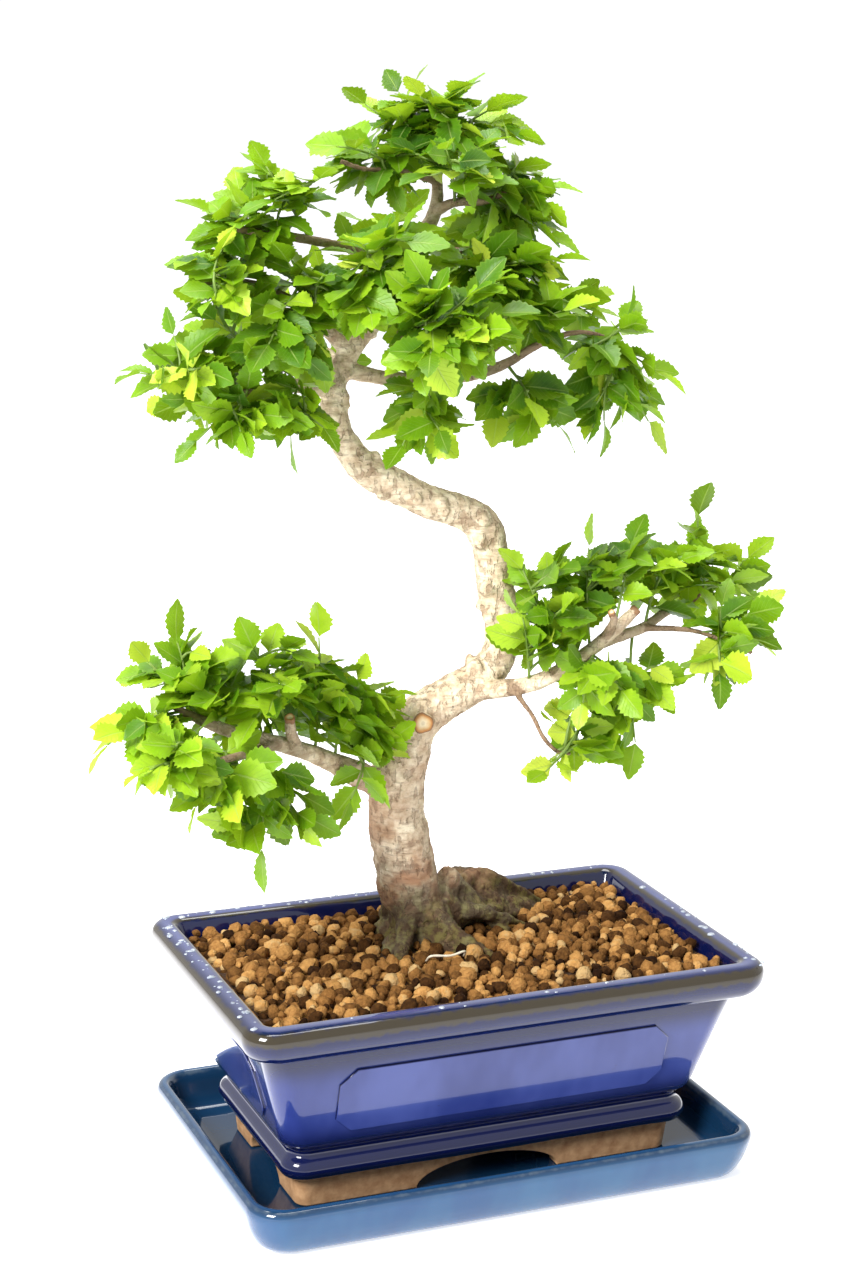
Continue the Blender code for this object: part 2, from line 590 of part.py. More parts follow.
def solid_from(name, points, faces, collection):
    mesh = bpy.data.meshes.new(name)
    mesh.from_pydata([tuple(p * MM) for p in points], [], faces)
    shape = bmesh.new()
    shape.from_mesh(mesh)
    bmesh.ops.recalc_face_normals(shape, faces=shape.faces)
    shape.to_mesh(mesh)
    shape.free()
    return place(mesh, name, LEAF_GREEN, collection)


def clear_stem(start, tip, sag, steps, others, rng):
    """A stem from start to near tip whose tube touches nothing already there, with that tube."""
    for attempt in range(60):
        stray = 0.35 * attempt
        end = Vector(tip) + Vector([rng.uniform(-stray, stray) for _ in range(3)])
        route = stem_route(start, end, sag, steps)
        tree = tree_of(*stem_tube(route, grow=GAP))
        if not any(tree.overlap(other) for other in others):
            return route, tree
    return None, None


def make_foliage(trunk):
    """Every shoot as one solid: its forked stem with the blades grown into it."""
    wood = world_tree(trunk)
    rng = random.Random(21)
    stems, stem_trees = [], {}
    for region, rows in SHOOTS.items():
        for number, (base, tip, fork_tip) in enumerate(rows, 1):
            name = f"leaf_shoot_{region}_{number}"
            standing = [wood] + [tree for trees in stem_trees.values() for tree in trees]
            main, main_tree = clear_stem(leave_branch(base, tip, wood), tip, 2.0, 3, standing, rng)
            fork, fork_tree = clear_stem(main[1][:3], fork_tip, 1.0, 2, standing, rng)
            stem = solid_from(name, *stem_tube(main), PARTS)
            stem_trees[name] = [main_tree]
            routes = [(main, LEAVES_ON_SHOOT)]
            if fork:
                boolean(stem, solid_from(name + "_fork", *stem_tube(fork), CUTTERS), "UNION")
                stem_trees[name].append(fork_tree)
                routes.append((fork, LEAVES_ON_FORK))
            stems.append((name, stem, routes))
    placed = []
    for name, stem, routes in stems:
        points, faces = [], []
        barred = [wood] + [tree for other, trees in stem_trees.items() if other != name for tree in trees]
        for route, count in routes:
            for leaf in range(count):
                blade = grow_leaf(route, leaf, count, barred, placed, rng)
                if blade is None:
                    continue
                blade_points, blade_faces = blade
                faces += [tuple(i + len(points) for i in f) for f in blade_faces]
                points += blade_points
        boolean(stem, solid_from(name + "_blades", points, faces, CUTTERS), "UNION")


def grow_leaf(route, leaf, count, barred, placed, rng):
    """One blade on a stem that touches no other shoot, or None if there is no room for it."""
    for attempt in range(LEAF_TRIES):
        t = (leaf + 0.9) / count if attempt < 5 else rng.uniform(0.25, 1.0)
        t = min(t, 1.0) * (len(route) - 1)
        i = min(int(t), len(route) - 2)
        here = Vector(route[i][:3]).lerp(Vector(route[i + 1][:3]), t - i)
        along = (Vector(route[i + 1][:3]) - Vector(route[i][:3])).normalized()
        if leaf == count - 1:
            here = Vector(route[-1][:3]) - along * 0.8
        side = along.cross(UP).normalized() * (1 if leaf % 2 else -1)
        spread = 0.25 if leaf == count - 1 else 1.0
        direction = along * 0.7 + side * spread + UP * rng.uniform(-0.5, 0.25)
        direction += Vector((rng.uniform(-0.3, 0.3), rng.uniform(-0.3, 0.3), rng.uniform(-0.2, 0.2)))
        direction.normalize()
        facing = UP + Vector((0, -0.5, 0)) + Vector([rng.uniform(-0.5, 0.5) for _ in range(3)])
        size = rng.uniform(0.85, 1.15)
        length, width = LEAF_LENGTH * size, LEAF_WIDTH * size
        blade = leaf_blade(here, direction, facing, length, width, LEAF_THICKNESS)
        roomy = leaf_blade(here - direction * 0.3, direction, facing, length + 0.9, width + 0.9, 2.2)
        tree = tree_of(*roomy)
        if any(tree.overlap(other) for other in barred):
            continue
        if any((near - here).length < reach + length and tree.overlap(other) for near, reach, other in placed):
            continue
        placed.append((here, length, tree_of(*blade)))
        return blade
    return None


make_tray()
make_pot()
for clip_side, clip_x in (("left", -DRAIN_X), ("right", DRAIN_X)):
    make_drain_mesh("drain_mesh_" + clip_side, clip_x)
    make_clip("mesh_clip_" + clip_side, clip_x)
make_soil(make_socket())
make_foliage(make_trunk())
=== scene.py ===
# %% [markdown]
# # A bonsai tree in a glazed pot
# The frame gives every solid at its real size. This file makes the looks around it: glazed
# stoneware, loose clay granules, fissured bark and about 2,500 toothed leaves.

# %% Load the frame
import math
import random

import bmesh
import bpy
from mathutils import Matrix, Vector, noise
from mathutils.bvhtree import BVHTree
from mathutils.kdtree import KDTree


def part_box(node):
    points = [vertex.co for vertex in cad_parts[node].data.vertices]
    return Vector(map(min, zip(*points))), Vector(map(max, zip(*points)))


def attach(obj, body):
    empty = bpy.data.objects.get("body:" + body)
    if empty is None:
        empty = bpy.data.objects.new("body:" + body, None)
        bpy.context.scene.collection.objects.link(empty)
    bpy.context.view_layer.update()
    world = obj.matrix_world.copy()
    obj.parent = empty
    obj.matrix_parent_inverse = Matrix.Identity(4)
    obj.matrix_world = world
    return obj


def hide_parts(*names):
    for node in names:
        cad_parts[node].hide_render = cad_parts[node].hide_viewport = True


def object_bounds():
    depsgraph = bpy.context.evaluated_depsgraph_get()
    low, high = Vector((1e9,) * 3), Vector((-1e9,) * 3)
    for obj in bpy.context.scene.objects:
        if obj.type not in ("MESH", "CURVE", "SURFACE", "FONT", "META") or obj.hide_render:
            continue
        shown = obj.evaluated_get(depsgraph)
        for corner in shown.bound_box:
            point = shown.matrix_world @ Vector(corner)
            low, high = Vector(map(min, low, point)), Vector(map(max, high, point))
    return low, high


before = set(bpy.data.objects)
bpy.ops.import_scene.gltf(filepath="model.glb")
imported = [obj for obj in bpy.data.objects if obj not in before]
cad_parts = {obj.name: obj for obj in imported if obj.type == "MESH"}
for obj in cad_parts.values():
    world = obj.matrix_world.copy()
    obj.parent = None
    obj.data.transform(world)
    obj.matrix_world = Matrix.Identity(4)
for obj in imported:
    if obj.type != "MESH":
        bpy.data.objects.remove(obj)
cad_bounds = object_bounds()
MM = 0.001
UP = Vector((0, 0, 1))
print("nodes in the frame:", len(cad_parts))

# %% [markdown]
# ## The camera
# The view is from the front and a little to the left of the pot, slightly above its rim. The
# camera is set by its azimuth, elevation, roll and distance from a point inside the tree, because
# those four numbers can be changed one at a time.

# %% Camera
AZIMUTH, ELEVATION, ROLL = (math.radians(a) for a in (-22.8, 13.8, 1.2))
DISTANCE = 0.8946
TARGET = Vector((-0.0133, 0.0, 0.1999))
LENS = 70.2

back = Vector((
    math.sin(AZIMUTH) * math.cos(ELEVATION), -math.cos(AZIMUTH) * math.cos(ELEVATION), math.sin(ELEVATION),
))
level_right = (-back).cross(UP).normalized()
level_up = level_right.cross(-back)
right = level_right * math.cos(ROLL) + level_up * math.sin(ROLL)
up = level_up * math.cos(ROLL) - level_right * math.sin(ROLL)
camera_data = bpy.data.cameras.new("camera")
camera_data.lens = LENS
camera = bpy.data.objects.new("camera", camera_data)
axes = Matrix((right, up, back)).transposed().to_4x4()
camera.matrix_world = Matrix.Translation(TARGET + back * DISTANCE) @ axes
bpy.context.scene.collection.objects.link(camera)
bpy.context.scene.camera = camera
print("camera at", tuple(round(v, 3) for v in camera.matrix_world.translation))

# %% [markdown]
# ## Shader maths as expressions
# A node tree is easier to read as a formula. A small class wraps one socket, and its operators add
# the Math nodes. Another class holds a material and makes any other node with one method.

# %% Sockets and finishes


class Socket:
    """One output of a node: arithmetic on it adds Math nodes."""

    def __init__(self, finish, link):
        self.finish = finish
        self.link = link

    def maths(self, operation, first, second):
        return self.finish.node("ShaderNodeMath", {"operation": operation}, [first, second])

    def __add__(self, other):
        return self.maths("ADD", self, other)

    __radd__ = __add__

    def __sub__(self, other):
        return self.maths("SUBTRACT", self, other)

    def __rsub__(self, other):
        return self.maths("SUBTRACT", other, self)

    def __mul__(self, other):
        return self.maths("MULTIPLY", self, other)

    __rmul__ = __mul__

    def __mod__(self, other):
        return self.maths("MODULO", self, other)

    def __abs__(self):
        return self.maths("ABSOLUTE", self, 0.0)


class Finish:
    """A material with one Principled shader."""

    def __init__(self, name, **constants):
        self.material = bpy.data.materials.new(name)
        self.material.use_nodes = True
        self.tree = self.material.node_tree
        self.shader = self.tree.nodes["Principled BSDF"]
        self.output = self.tree.nodes["Material Output"]
        self.feed(self.shader, constants)

    def feed(self, node, inputs):
        pairs = inputs.items() if isinstance(inputs, dict) else enumerate(inputs)
        for key, value in pairs:
            socket = node.inputs[key.replace("_", " ") if isinstance(key, str) else key]
            if isinstance(value, Socket):
                self.tree.links.new(value.link, socket)
            elif isinstance(value, tuple) and len(value) == 3 and socket.type == "RGBA":
                socket.default_value = (*value, 1.0)
            else:
                socket.default_value = value

    def node(self, kind, settings, inputs, output=0):
        """Any node: its settings first, then the values or links of its sockets."""
        made = self.tree.nodes.new(kind)
        stops = settings.pop("stops", None)
        for key, value in settings.items():
            setattr(made, key, value)
        if stops:
            ramp = made.color_ramp
            while len(ramp.elements) < len(stops):
                ramp.elements.new(0.5)
            for element, (place, colour) in zip(ramp.elements, stops):
                element.position = place
                element.color = (*colour, 1.0)
        self.feed(made, inputs)
        return Socket(self, made.outputs[output])

    def position(self):
        return self.node("ShaderNodeTexCoord", {}, {}, "Object")

    def height(self):
        return self.node("ShaderNodeSeparateXYZ", {}, [self.position()], "Z")

    def stretched(self, x, y, z):
        return self.node("ShaderNodeVectorMath", {"operation": "MULTIPLY"}, [self.position(), (x, y, z)])

    def noise(self, size, detail=3.0, roughness=0.55, where=None):
        """Noise from 0 to 1 whose lumps are about size metres across."""
        inputs = {
            "Vector": where or self.position(), "Scale": 1 / size,
            "Detail": detail, "Roughness": roughness,
        }
        return self.node("ShaderNodeTexNoise", {}, inputs, "Fac")

    def cells(self, size):
        """The distance to the middle of a cell about size metres across."""
        inputs = {"Vector": self.position(), "Scale": 1 / size}
        return self.node("ShaderNodeTexVoronoi", {"feature": "F1"}, inputs, "Distance")

    def step(self, value, low, high):
        """0 below low, 1 above high, and a soft slope between."""
        settings = {"interpolation_type": "SMOOTHSTEP"}
        inputs = {"Value": value, "From Min": low, "From Max": high, "To Min": 0.0, "To Max": 1.0}
        return self.node("ShaderNodeMapRange", settings, inputs, "Result")

    def ramp(self, value, stops):
        return self.node("ShaderNodeValToRGB", {"stops": stops}, {"Fac": value}, "Color")

    def mix(self, factor, first, second):
        return self.node("ShaderNodeMix", {"data_type": "RGBA"}, {0: factor, 6: first, 7: second}, 2)

    def stored(self, name):
        """A number stored on the mesh's points."""
        return self.node("ShaderNodeAttribute", {"attribute_name": name}, {}, "Fac")

    def bump(self, height, depth, strength=1.0):
        inputs = {"Height": height, "Distance": depth, "Strength": strength}
        self.feed(self.shader, {"Normal": self.node("ShaderNodeBump", {}, inputs, "Normal")})

    def surface(self, **links):
        self.feed(self.shader, links)

    def two_tone(self, size, dark, light, detail=3.0):
        """A base colour that wanders between two tones."""
        self.surface(Base_Color=self.ramp(self.noise(size, detail), [(0.3, dark), (0.7, light)]))


# %% [markdown]
# ## Placing a piece
# Every piece rides on the one body of this part. A piece that stands for solids of the frame names
# them, and they are hidden.

# %% Pieces
pieces = bpy.data.collections.new("bonsai")
bpy.context.scene.collection.children.link(pieces)


def piece(mesh, name, finishes, nodes=(), smooth_angle=None):
    """An object in the scene that rides on the root body."""
    made = bpy.data.objects.new(name, mesh)
    pieces.objects.link(made)
    mesh.materials.clear()
    for finish in finishes:
        mesh.materials.append(finish.material)
    mesh.shade_smooth()
    if smooth_angle:
        mesh.set_sharp_from_angle(angle=math.radians(smooth_angle))
    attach(made, "root")
    if nodes:
        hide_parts(*nodes)
    print(f"{name}: {len(mesh.polygons)} faces")


def mesh_from(shape, name):
    mesh = bpy.data.meshes.new(name)
    shape.to_mesh(mesh)
    shape.free()
    return mesh


def baked(helper, name):
    """The evaluated mesh of a helper object, which is then removed."""
    bpy.context.view_layer.update()
    graph = bpy.context.evaluated_depsgraph_get()
    mesh = bpy.data.meshes.new_from_object(helper.evaluated_get(graph))
    mesh.name = name
    mesh.transform(helper.matrix_world)
    bpy.data.objects.remove(helper)
    return mesh


def helper_from(mesh, name):
    made = bpy.data.objects.new(name, mesh)
    bpy.context.scene.collection.objects.link(made)
    return made


def clamped(value):
    return min(max(value, 0.0), 1.0)


def catmull(points, steps):
    """More points on a smooth curve through points, which may hold any number of values."""
    first = [2 * a - b for a, b in zip(points[0], points[1])]
    last = [2 * a - b for a, b in zip(points[-1], points[-2])]
    ends = [first, *points, last]
    fine = []
    for k in range(1, len(ends) - 2):
        p0, p1, p2, p3 = ends[k - 1:k + 3]
        for step in range(steps):
            t = step / steps
            fine.append(tuple(
                0.5 * (
                    2 * b + (c - a) * t + (2 * a - 5 * b + 4 * c - d) * t * t
                    + (3 * b - a - 3 * c + d) * t ** 3
                )
                for a, b, c, d in zip(p0, p1, p2, p3)
            ))
    fine.append(tuple(points[-1]))
    return fine


# %% [markdown]
# ## Glazed stoneware
# A dipped glaze runs thick on the walls and thin on the edges, where the clay shows through it as
# brown. The loft stores how thin the glaze is on each ring, and how dark it is where glaze pools in
# hollows and where painted shade lies under the lip, on the foot band and inside the tray. The glaze
# finish reads both. A clear coat over a rich blue gives the wet gloss.

# %% Glazes


def glaze(name, pooled_and_shade, deep, light, broken, roughness):
    finish = Finish(
        name, Roughness=roughness, Specular_IOR_Level=0.1,
        Coat_Weight=1.0, Coat_Roughness=0.02, Coat_IOR=1.45,
    )
    thin = finish.stored("thin_glaze")
    drift = finish.noise(0.030, 3.0, where=finish.stretched(1.0, 1.0, 0.45))
    grain = finish.noise(0.0012, 2.0)
    body = finish.mix(finish.step(drift, 0.32, 0.72), deep, light)
    # Dark blue where glaze pools in hollows, and painted shade under the lip, on the foot band and inside
    # the tray.
    body = finish.mix(finish.step(finish.stored("pooled_and_shade"), 0.15, 0.85), body, pooled_and_shade)
    wear = finish.step(thin + (finish.noise(0.004, 4.0) - 0.5) * 0.9, 0.52, 0.95)
    freckle = finish.step(finish.cells(0.0022), 0.22, 0.0)
    body = finish.mix(finish.step(finish.noise(0.010), 0.55, 0.75) * freckle * 0.5, body, broken)
    finish.surface(Base_Color=finish.mix(wear, body, broken), Roughness=roughness + grain * 0.05)
    finish.bump(finish.noise(0.006, 2.0) + grain * 0.06, 0.00025, 0.35)
    return finish


# The near-black blue of each glaze is glaze pooling and painted shade.
POT_GLAZE = glaze(
    "blue_glaze", pooled_and_shade=(0.003, 0.006, 0.045), deep=(0.018, 0.030, 0.15),
    light=(0.044, 0.064, 0.235), broken=(0.028, 0.021, 0.010), roughness=0.10,
)
TRAY_GLAZE = glaze(
    "sky_glaze", pooled_and_shade=(0.006, 0.030, 0.075), deep=(0.012, 0.062, 0.165),
    light=(0.024, 0.100, 0.205), broken=(0.055, 0.085, 0.12), roughness=0.12,
)

BARE_CLAY = Finish("bare_clay", Roughness=0.8)
BARE_CLAY.two_tone(0.004, (0.38, 0.19, 0.08), (0.64, 0.38, 0.19), detail=5.0)
BARE_CLAY.bump(BARE_CLAY.noise(0.0012, 4.0), 0.0003, 0.6)
print("glazes made")

# %% [markdown]
# ## Pot and tray
# Both are lofts: rounded rectangles are stacked up the outside, over the rim and down the inside.
# Each ring says how far it stands in from the widest edge, its height, its corner radius, where the
# glaze has run thin, and how dark it is from glaze pooling and painted shade. A curve through the
# rings rounds every change of slope, as glaze does.

# %% Lofted ceramics
POT_LENGTH, POT_WIDTH, POT_BASE, POT_TOP = 201.0, 127.0, 17.0, 84.0
TRAY_LENGTH, TRAY_WIDTH, TRAY_FLOOR = 197.0, 131.0, 5.0
DRAIN_X, DRAIN_RADIUS = 40.0, 8.0

# Columns: inset, height, corner radius, thin glaze, and glaze pooling with painted shade.
POT_RINGS = [
    (24.5, 17.0, 6.0, 0.2, 1.0), (21.8, 18.3, 8.0, 0.0, 1.0), (20.4, 21.2, 9.0, 0.2, 0.8),
    (21.4, 24.2, 8.0, 0.0, 1.0), (23.4, 26.2, 7.0, 0.0, 1.0), (23.2, 29.0, 7.0, 0.0, 1.0),
    (19.6, 32.6, 8.0, 0.1, 0.7), (17.0, 41.7, 8.0, 0.0, 0.25), (14.4, 50.8, 8.5, 0.0, 0.0),
    (11.8, 59.9, 9.0, 0.0, 0.35), (9.3, 68.6, 9.0, 0.0, 0.9), (8.4, 70.4, 9.0, 0.0, 1.0),
    (3.2, 72.4, 10.0, 0.0, 1.0), (0.7, 76.0, 10.5, 0.0, 0.7), (0.0, 80.2, 11.0, 1.0, 1.0),
    (0.9, 82.7, 10.5, 1.0, 1.0), (3.0, 84.0, 8.5, 0.4, 0.6), (6.0, 84.1, 6.0, 0.2, 0.3),
    (8.2, 83.7, 4.5, 1.0, 0.9), (9.6, 82.0, 4.0, 0.4, 1.0), (11.5, 76.0, 4.0, 0.0, 1.0),
    (13.5, 69.0, 4.0, 0.0, 1.0), (24.5, 31.0, 4.0, 0.0, 1.0), (28.0, 25.5, 4.0, 0.0, 1.0),
    (32.0, 23.0, 4.0, 0.0, 1.0),
]
# The last column darkens the inside of the tray: painted shade under the pot, with glaze pooling.
TRAY_RINGS = [
    (8.5, 0.0, 9.0, 0.5, 0.0), (5.0, 2.0, 11.0, 0.2, 0.0), (2.2, 7.0, 12.5, 0.0, 0.0),
    (0.5, 13.0, 13.0, 0.0, 0.1), (0.0, 16.5, 13.0, 0.0, 0.4), (0.9, 18.5, 12.5, 0.7, 0.8),
    (2.6, 19.2, 11.5, 0.3, 0.4), (4.2, 18.5, 10.0, 0.8, 0.8), (5.4, 15.5, 9.0, 0.1, 0.9),
    (6.6, 10.0, 8.5, 0.0, 1.0), (8.6, 6.2, 7.5, 0.0, 1.0), (11.0, 5.0, 6.0, 0.0, 0.9),
]
CORNER_STEPS = 14
CYLINDER_SIDES = 48


def rounded_ring(half_length, half_width, z, radius):
    """Points of a rounded rectangle, counter-clockwise from above, in mm."""
    points = []
    for x_side, y_side, start in ((1, 1, 0), (-1, 1, 90), (-1, -1, 180), (1, -1, 270)):
        for step in range(CORNER_STEPS):
            turn = math.radians(start + 90 * step / (CORNER_STEPS - 1))
            x = x_side * (half_length - radius) + radius * math.cos(turn)
            y = y_side * (half_width - radius) + radius * math.sin(turn)
            points.append(Vector((x, y, z)))
    return points


def loft(name, length, width, rings, steps=4):
    """A closed mesh through rings; its points store thin glaze, and glaze pooling with painted shade."""
    shape = bmesh.new()
    thin_layer = shape.verts.layers.float.new("thin_glaze")
    pool_and_shade_layer = shape.verts.layers.float.new("pooled_and_shade")
    loops = []
    for d, z, radius, thin, pooled_and_shade in catmull(rings, steps) if steps else rings:
        loop = [shape.verts.new(p * MM) for p in rounded_ring(length / 2 - d, width / 2 - d, z, radius)]
        for vertex in loop:
            vertex[thin_layer] = thin
            vertex[pool_and_shade_layer] = pooled_and_shade
        loops.append(loop)
    for lower, upper in zip(loops, loops[1:]):
        for i in range(len(lower)):
            j = (i + 1) % len(lower)
            shape.faces.new((lower[i], lower[j], upper[j], upper[i]))
    shape.faces.new(list(reversed(loops[0])))
    shape.faces.new(loops[-1])
    return mesh_from(shape, name)


def cylinder(name, radius, low, high, x=0.0):
    shape = bmesh.new()
    bmesh.ops.create_cone(
        shape, cap_ends=True, segments=CYLINDER_SIDES, radius1=radius * MM, radius2=radius * MM,
        depth=(high - low) * MM, matrix=Matrix.Translation(Vector((x, 0.0, (low + high) / 2)) * MM),
    )
    return helper_from(mesh_from(shape, name), name)


def cut_away(target, cutter):
    modifier = target.modifiers.new("cut", "BOOLEAN")
    modifier.operation = "DIFFERENCE"
    modifier.object = cutter


pot_wall = helper_from(loft("pot_wall", POT_LENGTH, POT_WIDTH, POT_RINGS), "pot_wall")
holes = [cylinder("drain_hole", DRAIN_RADIUS, 10, 30, side * DRAIN_X) for side in (-1, 1)]
for hole in holes:
    cut_away(pot_wall, hole)
piece(baked(pot_wall, "pot_body"), "pot_body", [POT_GLAZE], ["pot"], smooth_angle=50)
for hole in holes:
    bpy.data.objects.remove(hole)

tray_mesh = loft("tray", TRAY_LENGTH, TRAY_WIDTH, TRAY_RINGS)
piece(tray_mesh, "tray", [TRAY_GLAZE], ["drip_tray"], smooth_angle=50)

# %% [markdown]
# ## Feet and panels
# The potter leaves the foot ring bare so that it doesn't stick to the kiln shelf. It is a ring with
# one arch cut through its long sides and one through its short sides, which leaves four corner
# feet. Each wall carries a raised panel with clipped corners: a flat outline with a rounded edge.

# %% Feet
FOOT_BOTTOM, FOOT_INSET, FOOT_WALL, ARCH_RISE = TRAY_FLOOR + 0.35, 25.5, 9.0, 9.5
feet = helper_from(loft("feet", POT_LENGTH, POT_WIDTH, [
    (FOOT_INSET + 1.5, FOOT_BOTTOM, 5.0, 0, 0), (FOOT_INSET + 0.2, POT_BASE + 1.5, 5.0, 0, 0),
], steps=0), "feet")
cutters = [helper_from(loft("foot_hollow", POT_LENGTH, POT_WIDTH, [
    (FOOT_INSET + FOOT_WALL, FOOT_BOTTOM - 2, 3.0, 0, 0), (FOOT_INSET + FOOT_WALL, POT_BASE + 4, 3.0, 0, 0),
], steps=0), "foot_hollow")]
for half_span, turn in ((28.0, 0), (16.0, 90)):
    arch = cylinder("arch", 1.0, -110, 110)
    arch.data.transform(Matrix.Diagonal((half_span, ARCH_RISE, 1.0, 1.0)))
    arch.data.transform(Matrix.Rotation(math.radians(90), 4, "X"))
    arch.data.transform(Matrix.Rotation(math.radians(turn), 4, "Z"))
    arch.data.transform(Matrix.Translation((0, 0, FOOT_BOTTOM * MM)))
    cutters.append(arch)
for cutter in cutters:
    cut_away(feet, cutter)
edge_round = feet.modifiers.new("edge_round", "BEVEL")
edge_round.width = 0.6 * MM
edge_round.segments = 3
edge_round.limit_method = "ANGLE"
edge_round.angle_limit = math.radians(50)
piece(baked(feet, "pot_feet"), "pot_feet", [BARE_CLAY], ["pot"], smooth_angle=40)
for cutter in cutters:
    bpy.data.objects.remove(cutter)

# %% Panels
PANEL_LOW, PANEL_HIGH, PANEL_CLIP = 36.5, 63.5, 6.0
PANEL_RELIEF, PANEL_HALF_THICKNESS, PANEL_ROUND = 0.9, 1.5, 0.5
EDGE_DEPTH = 0.25
WALL_LOW, WALL_HIGH = (19.6, 32.6), (9.2, 69.0)


def raised_panel(name, half_span, half_depth, turn):
    lean = math.atan2(WALL_LOW[0] - WALL_HIGH[0], WALL_HIGH[1] - WALL_LOW[1])
    high, clip = (PANEL_HIGH - PANEL_LOW) / 2, PANEL_CLIP
    quarter = [(half_span, high - clip), (half_span - clip, high)]
    outline = quarter + [(-x, y) for x, y in reversed(quarter)]
    outline += [(-x, -y) for x, y in quarter] + [(x, -y) for x, y in reversed(quarter)]
    curve = bpy.data.curves.new(name, "CURVE")
    curve.dimensions = "2D"
    curve.fill_mode = "BOTH"
    curve.extrude = (PANEL_HALF_THICKNESS - PANEL_ROUND) * MM
    curve.bevel_depth = PANEL_ROUND * MM
    curve.bevel_resolution = 3
    curve.offset = -PANEL_ROUND * MM
    spline = curve.splines.new("POLY")
    spline.points.add(len(outline) - 1)
    for point, (x, y) in zip(spline.points, outline):
        point.co = (x * MM, y * MM, 0.0, 1.0)
    spline.use_cyclic_u = True
    flat = helper_from(curve, name)
    middle = (PANEL_LOW + PANEL_HIGH) / 2
    share = (middle - WALL_LOW[1]) / (WALL_HIGH[1] - WALL_LOW[1])
    wall = half_depth - (WALL_LOW[0] + (WALL_HIGH[0] - WALL_LOW[0]) * share)
    out = Matrix.Translation((0, -(wall + PANEL_RELIEF - PANEL_HALF_THICKNESS) * MM, middle * MM))
    upright = Matrix.Rotation(math.radians(90) + lean, 4, "X")
    flat.matrix_world = Matrix.Rotation(turn, 4, "Z") @ out @ upright
    mesh = baked(flat, name)
    outward = Matrix.Rotation(turn, 3, "Z") @ Vector((0, -math.cos(lean), -math.sin(lean)))
    heights = [v.co.dot(outward) for v in mesh.vertices]
    face_height = max(heights)
    # Painted shade: the rounded sides of the panel, down to the wall, take the dark pooling colour of the
    # glaze.
    edge_pool_and_shade = [min(1.0, (face_height - h) / (EDGE_DEPTH * MM)) for h in heights]
    mesh.attributes.new("pooled_and_shade", "FLOAT", "POINT").data.foreach_set("value", edge_pool_and_shade)
    piece(mesh, name, [POT_GLAZE], ["pot"], smooth_angle=40)


raised_panel("panel_front", 64.0, POT_WIDTH / 2, 0)
raised_panel("panel_back", 64.0, POT_WIDTH / 2, math.pi)
raised_panel("panel_right", 30.0, POT_LENGTH / 2, math.pi / 2)
raised_panel("panel_left", 30.0, POT_LENGTH / 2, -math.pi / 2)

# %% [markdown]
# ## Water on the rim
# A freshly watered pot has beads of water standing on its rim. Each is a flattened ball that sits
# half in the glaze, and all of them are one piece.

# %% Beads of water
BEAD_COUNT = 130
BEAD_INSET = (2.6, 6.8)
rng = random.Random(3)
shape = bmesh.new()
for _ in range(BEAD_COUNT):
    radius = rng.choice((0.35, 0.5, 0.7, 1.0)) * rng.uniform(0.8, 1.3)
    inset_here = rng.uniform(*BEAD_INSET)
    half_length, half_width = POT_LENGTH / 2 - inset_here, POT_WIDTH / 2 - inset_here
    if rng.random() < 0.5:
        x, y = rng.choice((-1, -1, 1)) * half_length, rng.uniform(-half_width, half_width)
    else:
        x, y = rng.uniform(-half_length, half_length), rng.choice((-1, 1, 1)) * half_width
    stretch = Matrix.Diagonal((rng.uniform(0.8, 1.4), rng.uniform(0.8, 1.3), 0.55, 1.0))
    place = Matrix.Translation(Vector((x, y, POT_TOP)) * MM)
    bmesh.ops.create_uvsphere(
        shape, u_segments=12, v_segments=8, radius=radius * MM, matrix=place @ stretch,
    )
WATER = Finish("water_bead", Roughness=0.03, Coat_Weight=1.0, Coat_Roughness=0.0)
# Painted reflection: clear water has no colour, and the pale grey-blue stands in for the sky it reflects.
WATER.two_tone(0.004, (0.20, 0.23, 0.30), (0.42, 0.46, 0.52))
WATER.bump(WATER.noise(0.002), 0.00005, 0.3)
piece(mesh_from(shape, "water_beads"), "water_beads", [WATER])

# %% [markdown]
# ## Wood
# The limbs follow the same routes as the frame's solid, as x, y, z and radius in millimetres. They
# are swept as tubes with smooth curves between the points. A voxel remesh then melts them into one
# skin, so a branch swells out of the trunk, and the skin is pushed in and out to carve the bark.

